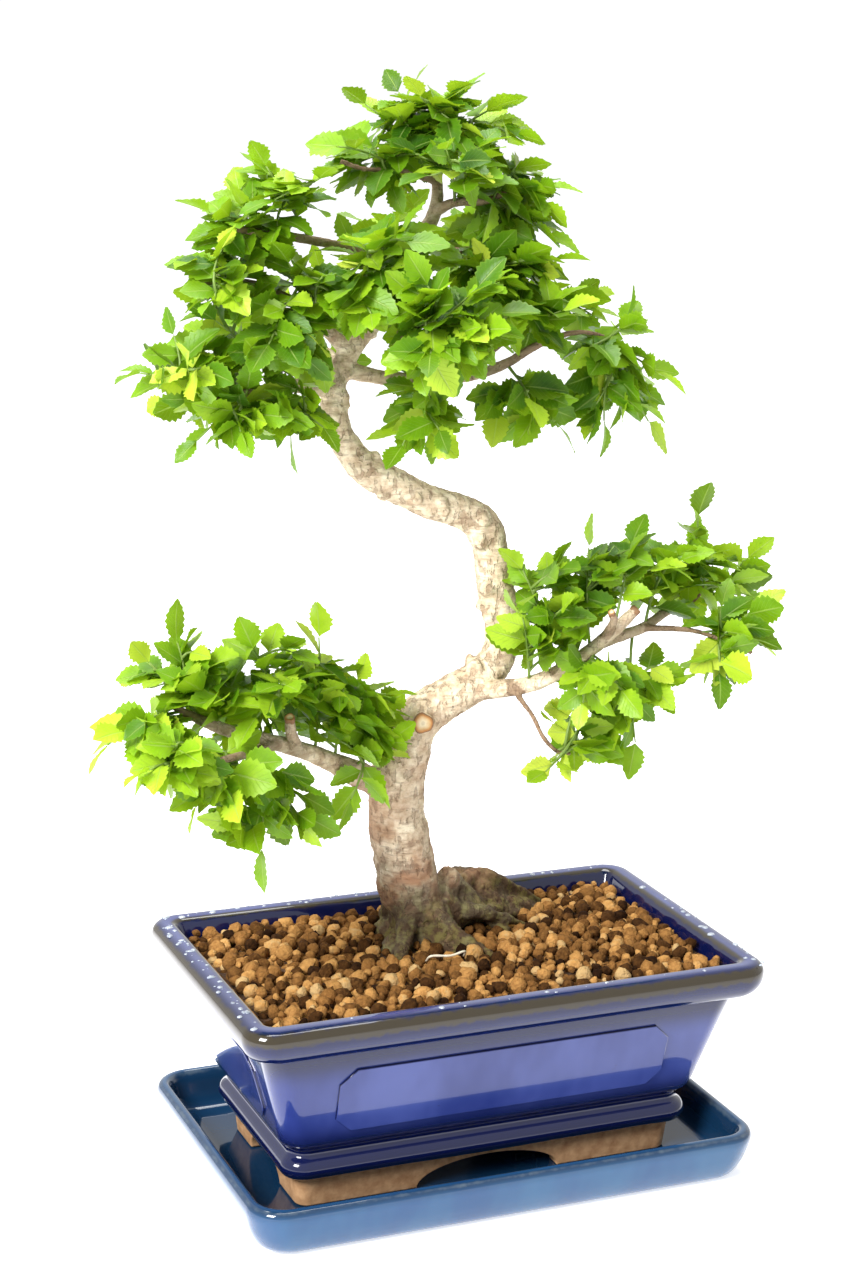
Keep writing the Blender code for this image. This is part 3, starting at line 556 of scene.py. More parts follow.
# %% Limb routes
LIMBS = {
    "trunk": [
        (-3, 14, 66, 12.6), (-4, 14, 74, 12.4), (-6, 14, 86, 12.0), (-12, 14, 100, 11.6),
        (-16, 13, 117, 11.1), (-19, 12, 132, 10.7), (-19, 11, 147, 10.4), (-17, 9, 159, 9.5),
        (-12, 8, 169, 8.7), (-1, 7, 176, 7.7), (11, 7, 182, 7.3), (19, 8, 191, 6.6),
        (20, 9, 204, 6.6), (17, 10, 217, 6.6), (15, 10, 230, 6.5), (11, 10, 239, 6.5),
        (3, 10, 244, 6.2), (-9, 11, 248, 6.1), (-21, 12, 254, 6.1), (-33, 13, 261, 5.7),
        (-41, 14, 271, 5.1), (-44, 15, 280, 4.7), (-44, 16, 290, 4.4), (-38, 17, 302, 4.0),
        (-29, 18, 313, 3.9), (-24, 19, 325, 3.5), (-18, 20, 336, 3.2), (-8, 20, 345, 2.8),
        (-5, 19, 354, 2.3), (-6, 18, 364, 1.8), (-8, 17, 373, 1.3), (-10, 16, 381, 0.8),
    ],
    "root_right": [
        (-4, 15, 88, 8.5), (14, 22, 87, 7.0), (30, 28, 84, 5.6),
        (46, 33, 79, 4.2), (58, 36, 72, 2.6),
    ],
    "root_back": [
        (-2, 18, 92, 7.0), (14, 28, 93, 6.2), (28, 34, 90, 5.4),
        (42, 38, 84, 4.2), (54, 41, 75, 2.8),
    ],
    "root_left": [(-10, 14, 84, 8.0), (-20, 8, 80, 5.6), (-29, 2, 74, 3.2)],
    "root_front": [(-6, 8, 84, 8.6), (-2, -2, 79, 5.6), (2, -10, 73, 3.2)],
    "root_rear": [(-8, 18, 84, 8.2), (-16, 28, 79, 5.4), (-24, 36, 73, 3.0)],
    "low_left": [
        (-19, 11, 141, 6.6), (-27, 8, 145, 5.6), (-41, 2, 153, 4.5), (-58, -6, 163, 3.5),
        (-73, -12, 170, 2.9), (-89, -16, 176, 2.4), (-102, -18, 182, 2.0), (-114, -20, 189, 1.2),
    ],
    "low_left_fork": [
        (-73, -12, 170, 2.0), (-92, -30, 173, 1.6),
        (-110, -42, 175, 1.2), (-121, -48, 179, 0.8),
    ],
    "low_left_stub": [(-64, -9, 165, 2.2), (-71, -18, 175, 2.1), (-73, -22, 182, 1.9)],
    "pruning_scar": [(-12, 8, 168, 4.4), (-14, 1, 169, 4.2), (-15, -2, 169.6, 3.6)],
    "right": [
        (5, 7, 178, 4.4), (13, -2, 180, 3.6), (23, -10, 183, 3.0), (33, -14, 188, 2.8),
        (43, -18, 196, 2.6), (51, -20, 203, 2.4), (59, -22, 211, 2.0),
    ],
    "right_fork": [
        (46, -18, 198, 2.2), (58, -15, 200, 2.1), (69, -10, 201, 2.0),
        (82, -2, 204, 1.8), (95, 4, 205, 1.4), (105, 8, 212, 0.9),
    ],
    "right_low_fork": [(66, -11, 201, 1.4), (85, -16, 200, 1.1), (99, -20, 195, 0.8), (108, -22, 191, 0.6)],
    "right_stub": [(48, -18, 200, 1.7), (48, -26, 208, 1.6), (46, -28, 212, 1.4)],
    "hanging": [
        (18, -6, 182, 1.5), (19, -12, 178, 1.1), (23, -14, 172, 0.9),
        (27, -15, 164, 0.8), (33, -14, 158, 0.7), (39, -13, 156, 0.6),
    ],
    "crown_low_left": [
        (-44, 15, 289, 3.6), (-60, 8, 292, 2.6), (-75, 0, 292, 2.2),
        (-89, -6, 291, 1.8), (-100, -10, 290, 1.5),
    ],
    "crown_mid_left": [
        (-38, 17, 302, 3.0), (-53, 10, 314, 2.1), (-69, 2, 324, 1.8),
        (-85, -4, 329, 1.8), (-101, -8, 329, 1.5),
    ],
    "crown_upper_left": [
        (-20, 19, 331, 2.6), (-39, 14, 338, 1.9), (-57, 6, 342, 1.7),
        (-74, -2, 345, 1.6), (-89, -6, 347, 1.2),
    ],
    "crown_right": [
        (-41, 17, 296, 3.2), (-26, 12, 293, 2.6), (-12, 6, 293, 2.5), (3, 0, 295, 2.2),
        (13, -4, 299, 1.8), (24, -8, 306, 1.4), (38, -10, 310, 1.1), (53, -12, 307, 0.7),
    ],
    "crown_right_fork": [(1, 1, 294, 1.9), (19, 16, 303, 1.4), (41, 28, 308, 1.1), (58, 34, 310, 0.7)],
    "top_right": [(-6, 19, 350, 2.2), (-2, 10, 354, 1.7), (6, 2, 355, 1.5), (13, -4, 359, 0.9)],
    "top_left": [(-6, 18, 361, 1.7), (-23, 10, 365, 1.2), (-39, 2, 366, 0.9), (-50, -4, 369, 0.6)],
    "crown_back": [(-23, 19, 326, 2.5), (-4, 45, 328, 1.8), (15, 62, 328, 1.3), (31, 72, 332, 0.8)],
    "crown_low_back": [(-43, 16, 292, 3.0), (-37, 40, 298, 2.2), (-40, 62, 299, 1.5), (-48, 74, 301, 0.9)],
    "crown_front": [(-28, 18, 316, 2.6), (-31, -6, 316, 1.7), (-36, -26, 313, 1.3), (-37, -42, 310, 0.8)],
    "crown_mid_right": [(-16, 20, 339, 2.2), (-2, 14, 337, 1.5), (10, 6, 339, 1.2), (20, 2, 343, 0.7)],
}

# %% Tubes


def add_tube(shape, route, sides):
    """Sweeps a closed round tube along a route of (x, y, z, radius) in mm; returns its faces."""
    centres = [Vector(p[:3]) for p in route]
    side = None
    rings = []
    for i, centre in enumerate(centres):
        along = (centres[min(i + 1, len(centres) - 1)] - centres[max(i - 1, 0)]).normalized()
        side = side if side else along.orthogonal()
        side = (side - along * side.dot(along)).normalized()
        other = along.cross(side)
        radius = route[i][3]
        ring = []
        for k in range(sides):
            turn = 2 * math.pi * k / sides
            spoke = (side * math.cos(turn) + other * math.sin(turn)) * radius
            ring.append(shape.verts.new((centre + spoke) * MM))
        rings.append(ring)
    faces = []
    for lower, upper in zip(rings, rings[1:]):
        for k in range(sides):
            j = (k + 1) % sides
            faces.append(shape.faces.new((lower[k], lower[j], upper[j], upper[k])))
    faces.append(shape.faces.new(list(reversed(rings[0]))))
    faces.append(shape.faces.new(rings[-1]))
    return faces


# %% Surface roots
ROOTS = [
    [(-2, 12, 96, 6.0), (8, 14, 90, 5.0), (20, 20, 87, 3.8), (33, 24, 83, 2.8), (44, 27, 78, 1.8)],
    [(4, 22, 97, 5.0), (15, 32, 96, 4.2), (28, 40, 93, 3.0), (40, 45, 86, 2.2), (48, 47, 78, 1.6)],
    [(-6, 6, 92, 6.4), (0, -2, 86, 4.0), (8, -8, 82, 2.6), (17, -13, 77, 1.6)],
    [(-14, 8, 94, 5.0), (-20, 1, 86, 3.4), (-25, -6, 80, 2.2), (-29, -11, 76, 1.4)],
    [(2, 14, 104, 5.0), (10, 17, 96, 4.4), (18, 14, 88, 3.0), (26, 9, 80, 2.0)],
    [(-10, 20, 96, 5.2), (-14, 29, 88, 3.6), (-12, 38, 80, 2.2)],
    [(12, 22, 98, 3.0), (22, 30, 98, 2.6), (33, 33, 93, 2.2), (47, 37, 84, 1.8), (57, 41, 77, 1.2)],
    [(8, 10, 92, 3.6), (20, 10, 88, 2.6), (31, 14, 83, 1.9), (40, 15, 78, 1.2)],
]

# %% Trunk and branches
VOXEL = 0.75
THINNEST = 0.95
KNOB_COUNT, KNOB_FIRST, KNOB_LAST = 30, 0.28, 0.88
KNOB_PROFILE = ((0.3, 1.3), (0.9, 1.15), (1.18, 0.95), (1.32, 0.55))
rng = random.Random(5)
fine_limbs = {name: catmull(route, 6) for name, route in LIMBS.items()}
wood = bmesh.new()
for name, route in fine_limbs.items():
    lumpy = []
    for x, y, z, r in route:
        lump = noise.noise(Vector((x, y, z)) * 0.13)
        lumpy.append((x, y, z, max(r * (1 + 0.10 * lump), THINNEST)))
    add_tube(wood, lumpy, 24 if route[0][3] > 5 else 12)
fine_roots = [catmull(route, 6) for route in ROOTS]
for route in fine_roots:
    add_tube(wood, route, 14)
trunk_line = fine_limbs["trunk"]
for _ in range(KNOB_COUNT):
    k = rng.randrange(int(len(trunk_line) * KNOB_FIRST), int(len(trunk_line) * KNOB_LAST))
    x, y, z, r = trunk_line[k]
    along = (Vector(trunk_line[k + 1][:3]) - Vector(trunk_line[k - 1][:3])).normalized()
    out = along.cross(Vector([rng.uniform(-1, 1) for _ in range(3)])).normalized()
    foot = Vector((x, y, z))
    knob = rng.uniform(0.28, 0.50) * r
    add_tube(wood, [(*(foot + out * r * a), knob * b) for a, b in KNOB_PROFILE], 10)
wood_helper = helper_from(mesh_from(wood, "wood"), "wood")
melt = wood_helper.modifiers.new("melt", "REMESH")
melt.mode = "VOXEL"
melt.voxel_size = VOXEL * MM
relax = wood_helper.modifiers.new("relax", "SMOOTH")
relax.factor = 0.5
relax.iterations = 3
wood_mesh = baked(wood_helper, "trunk")

line_points = [p for route in [*fine_limbs.values(), *fine_roots] for p in route]
nearest_limb = KDTree(len(line_points))
for i, p in enumerate(line_points):
    nearest_limb.insert(Vector(p[:3]), i)
nearest_limb.balance()


def bark_relief(p, girth):
    """How far the bark stands out at a point in mm, for wood of this radius."""
    grown = min(girth / 9.0, 1.0)
    ring = noise.noise(Vector((p.x * 0.16, p.y * 0.16, p.z * 0.75)))
    plates = noise.noise(Vector((p.x, p.y, p.z * 0.7)) * 0.42)
    crack = abs(noise.noise(Vector((p.x * 0.5, p.y * 0.5, p.z * 0.22)) + Vector((9, 3, 1))))
    fine = noise.noise(p * 1.3)
    gully = -max(0.0, 0.14 - crack) * 2.2
    gnarl = max(0.0, min(1.0, (112 - p.z) / 20))
    knots = noise.noise(p * 0.16 + Vector((4, 7, 2))) * 1.6 + abs(noise.noise(p * 0.34)) * -1.5
    plain = grown * (0.30 * ring + 0.40 * plates + gully) + (0.06 + 0.14 * grown) * fine
    return plain + gnarl * min(girth / 4, 1) * knots


girths = []
offsets = []
for vertex in wood_mesh.vertices:
    p = vertex.co / MM
    _, index, _ = nearest_limb.find(p)
    girth = line_points[index][3]
    girths.append(girth)
    offsets.append(vertex.co + vertex.normal * bark_relief(p, girth) * MM)
for vertex, moved in zip(wood_mesh.vertices, offsets):
    vertex.co = moved
girth_layer = wood_mesh.attributes.new("girth", "FLOAT", "POINT")
girth_layer.data.foreach_set("value", girths)
wood_mesh.update()

# %% [markdown]
# ## Bark
# Young wood is smooth and brown, and old bark is pale and flaky with fine level rings. The girth
# stored on each point chooses between them. Low on the trunk the flakes have come away and show a
# red-brown layer, and around the roots the bark is dark, damp and mossy.

# %% Bark finish
BARK = Finish("bark", Roughness=0.85, Specular_IOR_Level=0.2)
z = BARK.height()
girth = BARK.stored("girth")
flakes = BARK.noise(0.0045, 5.0, 0.65)
rings = BARK.noise(0.0020, 3.0, 0.6, where=BARK.stretched(0.30, 0.30, 1.5))
patches = BARK.noise(0.015, 3.0)
cracks = BARK.step(BARK.noise(0.0032, 3.0, 0.6, where=BARK.stretched(1.3, 1.3, 0.55)), 0.40, 0.47)
pale = BARK.ramp(flakes, [
    (0.30, (0.42, 0.29, 0.185)), (0.48, (0.66, 0.52, 0.36)), (0.68, (0.88, 0.77, 0.58)),
])
young = BARK.ramp(rings, [(0.3, (0.17, 0.10, 0.055)), (0.7, (0.36, 0.25, 0.16))])
colour = BARK.mix(BARK.step(girth, 1.0, 3.0), young, pale)
red_zone = BARK.step(z, 0.185, 0.10) * BARK.step(patches, 0.42, 0.60)
colour = BARK.mix(red_zone * 0.80, colour, (0.40, 0.19, 0.095))
colour = BARK.mix(BARK.step(rings, 0.52, 0.64) * 0.42, colour, (0.26, 0.17, 0.11))
damp = BARK.step(z + (patches - 0.5) * 0.034, 0.116, 0.092)
moss = BARK.mix(BARK.step(flakes, 0.45, 0.60), (0.045, 0.028, 0.014), (0.125, 0.110, 0.028))
colour = BARK.mix(damp * 0.9, colour, moss)
colour = BARK.mix((1 - cracks) * BARK.step(girth, 2.0, 5.0) * 0.40, colour, (0.20, 0.12, 0.07))
BARK.surface(Base_Color=colour)
BARK.bump(flakes * 0.7 + rings * 0.5 + cracks * 0.4, 0.0011, 1.0)
piece(wood_mesh, "trunk", [BARK], ["trunk_and_branches"])

# %% [markdown]
# ## Cut ends
# Where a branch was removed, the cut heals from its rim inwards: an orange-brown lip round a pale
# face. Each is a small shallow dish that faces along the last stretch of its limb.

# %% Pruning cuts
CUT_WOOD = Finish("cut_wood", Roughness=0.7)
ring_place = CUT_WOOD.stored("ring") + (CUT_WOOD.noise(0.002) - 0.5) * 0.25
CUT_WOOD.surface(Base_Color=CUT_WOOD.ramp(ring_place, [
    (0.0, (0.30, 0.19, 0.10)), (0.25, (0.78, 0.66, 0.46)), (0.55, (0.66, 0.46, 0.24)),
    (0.78, (0.46, 0.20, 0.055)), (1.0, (0.22, 0.11, 0.05)),
]))
CUT_WOOD.bump(CUT_WOOD.noise(0.001, 3.0), 0.0003, 0.6)
CUT_SIDES = 28
CUT_PROFILE = ((1.0, -1.6), (1.04, -0.2), (0.92, 0.45), (0.74, 0.50), (0.5, 0.15), (0.2, 0.0))


def cut_face(name, limb_name, spread, proud):
    route = LIMBS[limb_name]
    end, before = Vector(route[-1][:3]), Vector(route[-2][:3])
    out = (end - before).normalized()
    side = out.orthogonal().normalized()
    other = out.cross(side)
    radius = route[-1][3] * spread
    shape = bmesh.new()
    ring_layer = shape.verts.layers.float.new("ring")
    loops = []
    for reach, lift in CUT_PROFILE:
        loop = []
        for k in range(CUT_SIDES):
            turn = 2 * math.pi * k / CUT_SIDES
            wobble = 1 + 0.06 * math.sin(3 * turn + 1) + 0.04 * math.sin(5 * turn)
            spoke = (side * math.cos(turn) + other * math.sin(turn)) * radius * reach * wobble
            vertex = shape.verts.new((end + spoke + out * (proud + lift)) * MM)
            vertex[ring_layer] = reach
            loop.append(vertex)
        loops.append(loop)
    for lower, upper in zip(loops, loops[1:]):
        for k in range(CUT_SIDES):
            j = (k + 1) % CUT_SIDES
            shape.faces.new((lower[k], lower[j], upper[j], upper[k]))
    shape.faces.new(loops[-1])
    shape.faces.new(list(reversed(loops[0])))
    piece(mesh_from(shape, name), name, [CUT_WOOD])


cut_face("cut_trunk", "pruning_scar", 1.0, 0.3)
cut_face("cut_low_branch", "low_left_stub", 0.95, 0.1)
cut_face("cut_right_branch", "right", 0.95, 0.1)
cut_face("cut_right_spur", "right_stub", 0.9, 0.1)

# %% [markdown]
# ## Soil
# The bed is the frame's own solid in a dark finish. Loose baked-clay granules lie on it in two
# layers: each is a small ball with a few random dents, dropped on the bed where it isn't inside the
# wood. Every granule stores a number that picks its colour.

# %% Granules
GRANULE = Finish("clay_granule", Roughness=1.0, Specular_IOR_Level=0.1)
tone = GRANULE.stored("tone") + (GRANULE.noise(0.0016, 4.0) - 0.5) * 0.5
GRANULE.surface(Base_Color=GRANULE.ramp(tone, [
    (0.0, (0.016, 0.006, 0.002)), (0.25, (0.070, 0.029, 0.008)), (0.55, (0.26, 0.120, 0.034)),
    (0.82, (0.52, 0.270, 0.085)), (0.98, (0.52, 0.34, 0.15)),
]))
GRANULE.bump(GRANULE.noise(0.0010, 4.0), 0.0011, 1.0)
BED = Finish("soil_bed", Roughness=1.0)
BED.two_tone(0.003, (0.020, 0.010, 0.005), (0.11, 0.05, 0.02), detail=4.0)
BED.bump(BED.noise(0.0015, 4.0), 0.0008, 1.0)

bed_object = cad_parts["soil"]
bed_object.data.materials.clear()
bed_object.data.materials.append(BED.material)
graph = bpy.context.evaluated_depsgraph_get()
bed_tree = BVHTree.FromObject(bed_object, graph)
wood_tree = BVHTree.FromPolygons(
    [v.co for v in wood_mesh.vertices], [tuple(f.vertices) for f in wood_mesh.polygons],
)
low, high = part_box("soil")

# Each layer: the spacing of its granules, its lift above the bed and the range of their sizes.
GRANULE_LAYERS = ((4.2, -0.4, (3.4, 6.4)), (5.3, 2.4, (2.8, 7.0)))
ROW_PITCH, JITTER, ABOVE_ALL, LOWEST_BED = 0.87, 1.3, 120, 0.070

ball_shape = bmesh.new()
bmesh.ops.create_icosphere(ball_shape, subdivisions=2, radius=1.0)
BALL_POINTS = [v.co.copy() for v in ball_shape.verts]
BALL_FACES = [tuple(v.index for v in f.verts) for f in ball_shape.faces]
ball_shape.free()


def dented_ball(centre, size, rng):
    """The points of a small lump with flats and dents."""
    squash = Vector([rng.uniform(0.72, 1.18) for _ in range(3)]) * size / 2
    angle = rng.uniform(0, 6.28)
    axis = Vector([rng.uniform(-1, 1) for _ in range(3)]).normalized()
    turn = Matrix.Rotation(angle, 3, axis)
    seed = Vector([rng.uniform(-50, 50) for _ in range(3)])
    flats = [Vector([rng.gauss(0, 1) for _ in range(3)]).normalized() for _ in range(5)]
    points = []
    for p in BALL_POINTS:
        reach = 1 + 0.34 * noise.noise(p * 1.7 + seed)
        for flat in flats:
            reach = min(reach, 0.78 / max(p.dot(flat), 0.2))
        points.append(centre + turn @ Vector([a * b * reach for a, b in zip(p, squash)]) * MM)
    return points


rng = random.Random(11)
points, faces, tones = [], [], []
count = 0
for spacing, lift, sizes in GRANULE_LAYERS:
    rows = int((high[1] - low[1]) / MM / (spacing * ROW_PITCH))
    columns = int((high[0] - low[0]) / MM / spacing)
    for row in range(rows + 1):
        for column in range(columns + 1):
            size = rng.uniform(*sizes)
            x = low[0] / MM + spacing * (column + 0.5 * (row % 2)) + rng.uniform(-JITTER, JITTER)
            y = low[1] / MM + spacing * ROW_PITCH * row + rng.uniform(-JITTER, JITTER)
            tone_value = clamped(rng.gauss(0.50, 0.24))
            margin = size * 0.5
            inside_x = low[0] / MM + margin < x < high[0] / MM - margin
            inside_y = low[1] / MM + margin < y < high[1] / MM - margin
            if not (inside_x and inside_y):
                continue
            hit = bed_tree.ray_cast(Vector((x, y, ABOVE_ALL)) * MM, -UP)[0]
            if hit is None or hit.z < LOWEST_BED:
                continue
            centre = Vector((x * MM, y * MM, hit.z + lift * MM))
            near, normal, _, gap = wood_tree.find_nearest(centre)
            if (centre - near).dot(normal) < 0 or gap < size * 0.25 * MM:
                continue
            faces += [tuple(i + len(points) for i in face) for face in BALL_FACES]
            points += dented_ball(centre, size, rng)
            tones += [tone_value] * len(BALL_POINTS)
            count += 1
granules = bpy.data.meshes.new("soil_granules")
granules.from_pydata(points, [], faces)
granules.attributes.new("tone", "FLOAT", "POINT").data.foreach_set("value", tones)
piece(granules, "soil_granules", [GRANULE], smooth_angle=55)
print("granules:", count)

# %% Stray rootlet
ROOTLET = Finish("pale_rootlet", Roughness=0.6)
ROOTLET.two_tone(0.002, (0.62, 0.54, 0.40), (0.85, 0.80, 0.68))
ROOTLET.bump(ROOTLET.noise(0.001), 0.0002, 0.4)
shape = bmesh.new()
add_tube(shape, catmull([
    (-17, -14, 83, 0.3), (-16, -17, 86.0, 0.45), (-9, -18, 85.6, 0.45), (-3, -17, 86.2, 0.4),
    (-2, -14, 83, 0.3),
], 5), 8)
piece(mesh_from(shape, "rootlet"), "rootlet", [ROOTLET])

# %% [markdown]
# ## Screens and clips
# These two finishes go on the frame's own solids, under the soil and the pot.

# %% Plastic screens and wire clips
SCREEN = Finish("screen_plastic", Roughness=0.5)
SCREEN.two_tone(0.002, (0.015, 0.015, 0.016), (0.045, 0.045, 0.045))
SCREEN.bump(SCREEN.noise(0.0008), 0.0001, 0.4)
WIRE = Finish("drawn_wire", Metallic=1.0, Roughness=0.3)
WIRE.two_tone(0.002, (0.45, 0.45, 0.47), (0.66, 0.66, 0.68))
for side in ("left", "right"):
    for node_name, finish in ((f"drain_mesh_{side}", SCREEN), (f"mesh_clip_{side}", WIRE)):
        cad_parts[node_name].data.materials.clear()
        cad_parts[node_name].data.materials.append(finish.material)

# %% [markdown]
# ## Leaves
# A leaf is a grid bent over its midrib: pointed at both ends, toothed along its edge, folded a
# little and curled down at the tip. It stores where each point lies along and across the blade, so
# that the finish can draw the veins, and a tone and an age that differ from leaf to leaf. Light
# passes through a leaf, so the finish mixes in a translucent share.

# %% Leaf finish
THROUGH_COLOUR, THROUGH_SHARE = (0.40, 0.62, 0.015), 0.26
LEAF = Finish("leaf", Roughness=0.40, Specular_IOR_Level=0.30)
along, across = LEAF.stored("along"), LEAF.stored("across")
leaf_tone_and_light, leaf_age = LEAF.stored("tone"), LEAF.stored("young")
side_way = abs(across)
midrib = LEAF.step(side_way, 0.085, 0.03)
vein_saw = abs((along * 8.5 - side_way * 2.2 + 4.0) % 1.0 - 0.5)
veins = LEAF.step(vein_saw, 0.42, 0.49) * LEAF.step(side_way, 0.98, 0.6)
mottle = (LEAF.noise(0.005, 3.0) - 0.5) * 0.35
# Tone is part random, part painted light: lighter outside a pad and on the two low pads.
blade = LEAF.ramp(leaf_tone_and_light + mottle, [
    (0.05, (0.014, 0.066, 0.001)), (0.35, (0.070, 0.190, 0.003)), (0.65, (0.185, 0.360, 0.006)),
    (0.95, (0.400, 0.580, 0.030)),
])
blade = LEAF.mix(leaf_age, blade, (0.62, 0.72, 0.07))
blade = LEAF.mix(veins * 0.28, blade, (0.22, 0.38, 0.06))
blade = LEAF.mix(midrib * 0.50, blade, (0.36, 0.48, 0.12))
blade = LEAF.mix(LEAF.step(side_way, 0.80, 1.0) * 0.25, blade, (0.28, 0.42, 0.04))
LEAF.surface(Base_Color=blade)
LEAF.bump(veins * -0.5 + midrib * -1.0 + LEAF.noise(0.0012, 2.0) * 0.3, 0.0004, 0.6)
through = LEAF.tree.nodes.new("ShaderNodeBsdfTranslucent")
through.inputs["Color"].default_value = (*THROUGH_COLOUR, 1.0)
blend = LEAF.tree.nodes.new("ShaderNodeMixShader")
blend.inputs[0].default_value = THROUGH_SHARE
LEAF.tree.links.new(LEAF.shader.outputs[0], blend.inputs[1])
LEAF.tree.links.new(through.outputs[0], blend.inputs[2])
LEAF.tree.links.new(blend.outputs[0], LEAF.output.inputs["Surface"])

TWIG = Finish("twig", Roughness=0.7)
TWIG.two_tone(0.003, (0.16, 0.13, 0.04), (0.34, 0.30, 0.10))
TWIG.bump(TWIG.noise(0.001), 0.0002, 0.5)
print("leaf and twig finishes made")

# %% Shoots of the frame
# Each shoot is (start on its branch, tip, tip of its fork), in mm.
SHOOTS = {
    "low_left": [
        ((-41, 2, 153), (-31, -12, 168), (-47, -14, 148)),
        ((-49, -2, 157), (-44, -10, 190), (-29, 12, 171)),
        ((-58, -6, 163), (-59, -12, 207), (-56, 14, 190)),
        ((-71, -18, 175), (-86, -22, 207), (-81, -40, 199)),
        ((-80, -14, 172), (-77, 24, 181), (-69, 12, 178)),
        ((-89, -16, 176), (-99, -8, 198), (-101, -34, 194)),
        ((-102, -18, 182), (-121, -16, 204), (-110, -12, 209)),
        ((-112, -20, 187), (-139, -28, 180), (-127, -36, 189)),
        ((-92, -30, 173), (-112, -40, 160), (-102, -46, 165)),
        ((-80, -20, 170), (-87, -34, 140), (-73, -32, 150)),
        ((-110, -42, 175), (-131, -50, 177), (-125, -54, 186)),
    ],
    "right": [
        ((23, -10, 183), (14, -22, 211), (35, 4, 195)),
        ((33, -14, 188), (20, -8, 225), (27, -26, 214)),
        ((43, -18, 196), (45, -10, 232), (47, 8, 218)),
        ((51, -20, 203), (60, -14, 233), (65, 20, 209)),
        ((69, -10, 201), (85, -4, 229), (87, 18, 213)),
        ((95, 4, 205), (96, 2, 239), (111, 10, 219)),
        ((100, 6, 209), (124, 16, 202), (127, 28, 188)),
        ((88, -17, 199), (108, -24, 196), (92, -26, 186)),
        ((46, -19, 198), (37, -26, 179), (48, -34, 185)),
        ((62, -14, 199), (64, -16, 159), (71, -20, 179)),
        ((33, -14, 158), (48, -8, 160), (24, -24, 154)),
    ],
    "crown_left": [
        ((-60, 8, 292), (-69, -10, 279), (-59, -14, 281)),
        ((-75, 0, 292), (-101, -6, 277), (-89, -16, 281)),
        ((-92, -7, 291), (-122, -12, 301), (-109, -20, 306)),
        ((-68, 4, 292), (-95, -8, 317), (-88, -24, 310)),
        ((-87, -5, 291), (-103, 22, 286), (-88, 24, 293)),
        ((-69, 2, 324), (-82, -24, 311), (-69, -18, 314)),
        ((-85, -4, 329), (-103, -10, 337), (-100, -22, 326)),
        ((-53, 10, 314), (-65, -28, 333), (-71, -12, 336)),
        ((-74, -2, 345), (-95, -2, 352), (-81, 10, 358)),
        ((-57, 6, 342), (-75, 0, 367), (-63, -18, 364)),
    ],
    "apex": [
        ((-6, 18, 364), (-35, 12, 387), (-19, 22, 391)),
        ((-9, 16, 377), (1, 14, 391), (-19, 2, 390)),
        ((-7, 17, 369), (14, 10, 387), (14, 34, 378)),
        ((-23, 10, 365), (-53, -8, 374), (-30, 24, 375)),
        ((6, 2, 355), (27, -4, 360), (20, 8, 366)),
        ((8, -1, 356), (24, -10, 345), (28, 20, 350)),
        ((-2, 10, 354), (-21, -26, 374), (-3, -14, 370)),
    ],
    "middle": [
        ((-2, 14, 337), (26, 2, 334), (4, -16, 328)),
        ((-30, 10, 319), (-54, -36, 344), (-57, -30, 329)),
        ((-36, -26, 313), (-26, -46, 321), (-36, -52, 310)),
    ],
    "crown_right": [
        ((-12, 6, 293), (-29, -12, 273), (-18, -18, 279)),
        ((13, -4, 299), (26, -18, 280), (12, -26, 290)),
        ((24, -8, 306), (12, -16, 322), (25, -22, 319)),
        ((38, -10, 310), (66, -16, 296), (54, -14, 314)),
        ((46, -11, 309), (68, -8, 277), (44, -14, 285)),
        ((41, 28, 308), (62, 34, 318), (30, 40, 316)),
    ],
    "back": [
        ((15, 62, 328), (33, 72, 344), (52, 80, 315)),
        ((-4, 45, 328), (-13, 66, 342), (2, 70, 314)),
        ((-40, 62, 299), (-57, 74, 304), (-20, 84, 279)),
        ((-37, 40, 298), (-44, 60, 316), (-20, 62, 304)),
    ],
}

# %% Leaf blades
STATIONS, HALF_COLUMNS = 14, 2
TOOTH_OUT, TOOTH_IN = 0.15, -0.06


def blade_width(t):
    """Half the blade's width at t from base to tip, as a share of its greatest half width."""
    stalk = min(1.0, 0.10 + t * 7)
    return max(0.03, math.sin(math.pi * min(t, 0.999) ** 0.86)) ** 0.82 * stalk


def add_leaf(shape, layers, base, direction, facing, length, width, curl, fold, tone_value, age):
    across_way = direction.cross(facing).normalized()
    normal = across_way.cross(direction).normalized()
    rows = []
    for i in range(STATIONS + 1):
        t = i / STATIONS
        half = width / 2 * blade_width(t)
        row = []
        for j in range(-HALF_COLUMNS, HALF_COLUMNS + 1):
            a = j / HALF_COLUMNS
            on_edge = abs(j) == HALF_COLUMNS and 0 < i < STATIONS
            tooth = (TOOTH_OUT if i % 2 else TOOTH_IN) if on_edge else 0.0
            x = half * a * (1 + tooth)
            ripple = 0.25 * math.sin(9 * t + 2 * a) * abs(a)
            lift = fold * abs(x) - curl * length * t * t + ripple
            p = base + direction * (length * (t + 0.03 * abs(a))) + across_way * x + normal * lift
            vertex = shape.verts.new(p * MM)
            for layer, value in zip(layers, (t, a, tone_value, age)):
                vertex[layer] = value
            row.append(vertex)
        rows.append(row)
    for lower, upper in zip(rows, rows[1:]):
        for j in range(2 * HALF_COLUMNS):
            shape.faces.new((lower[j], lower[j + 1], upper[j + 1], upper[j]))
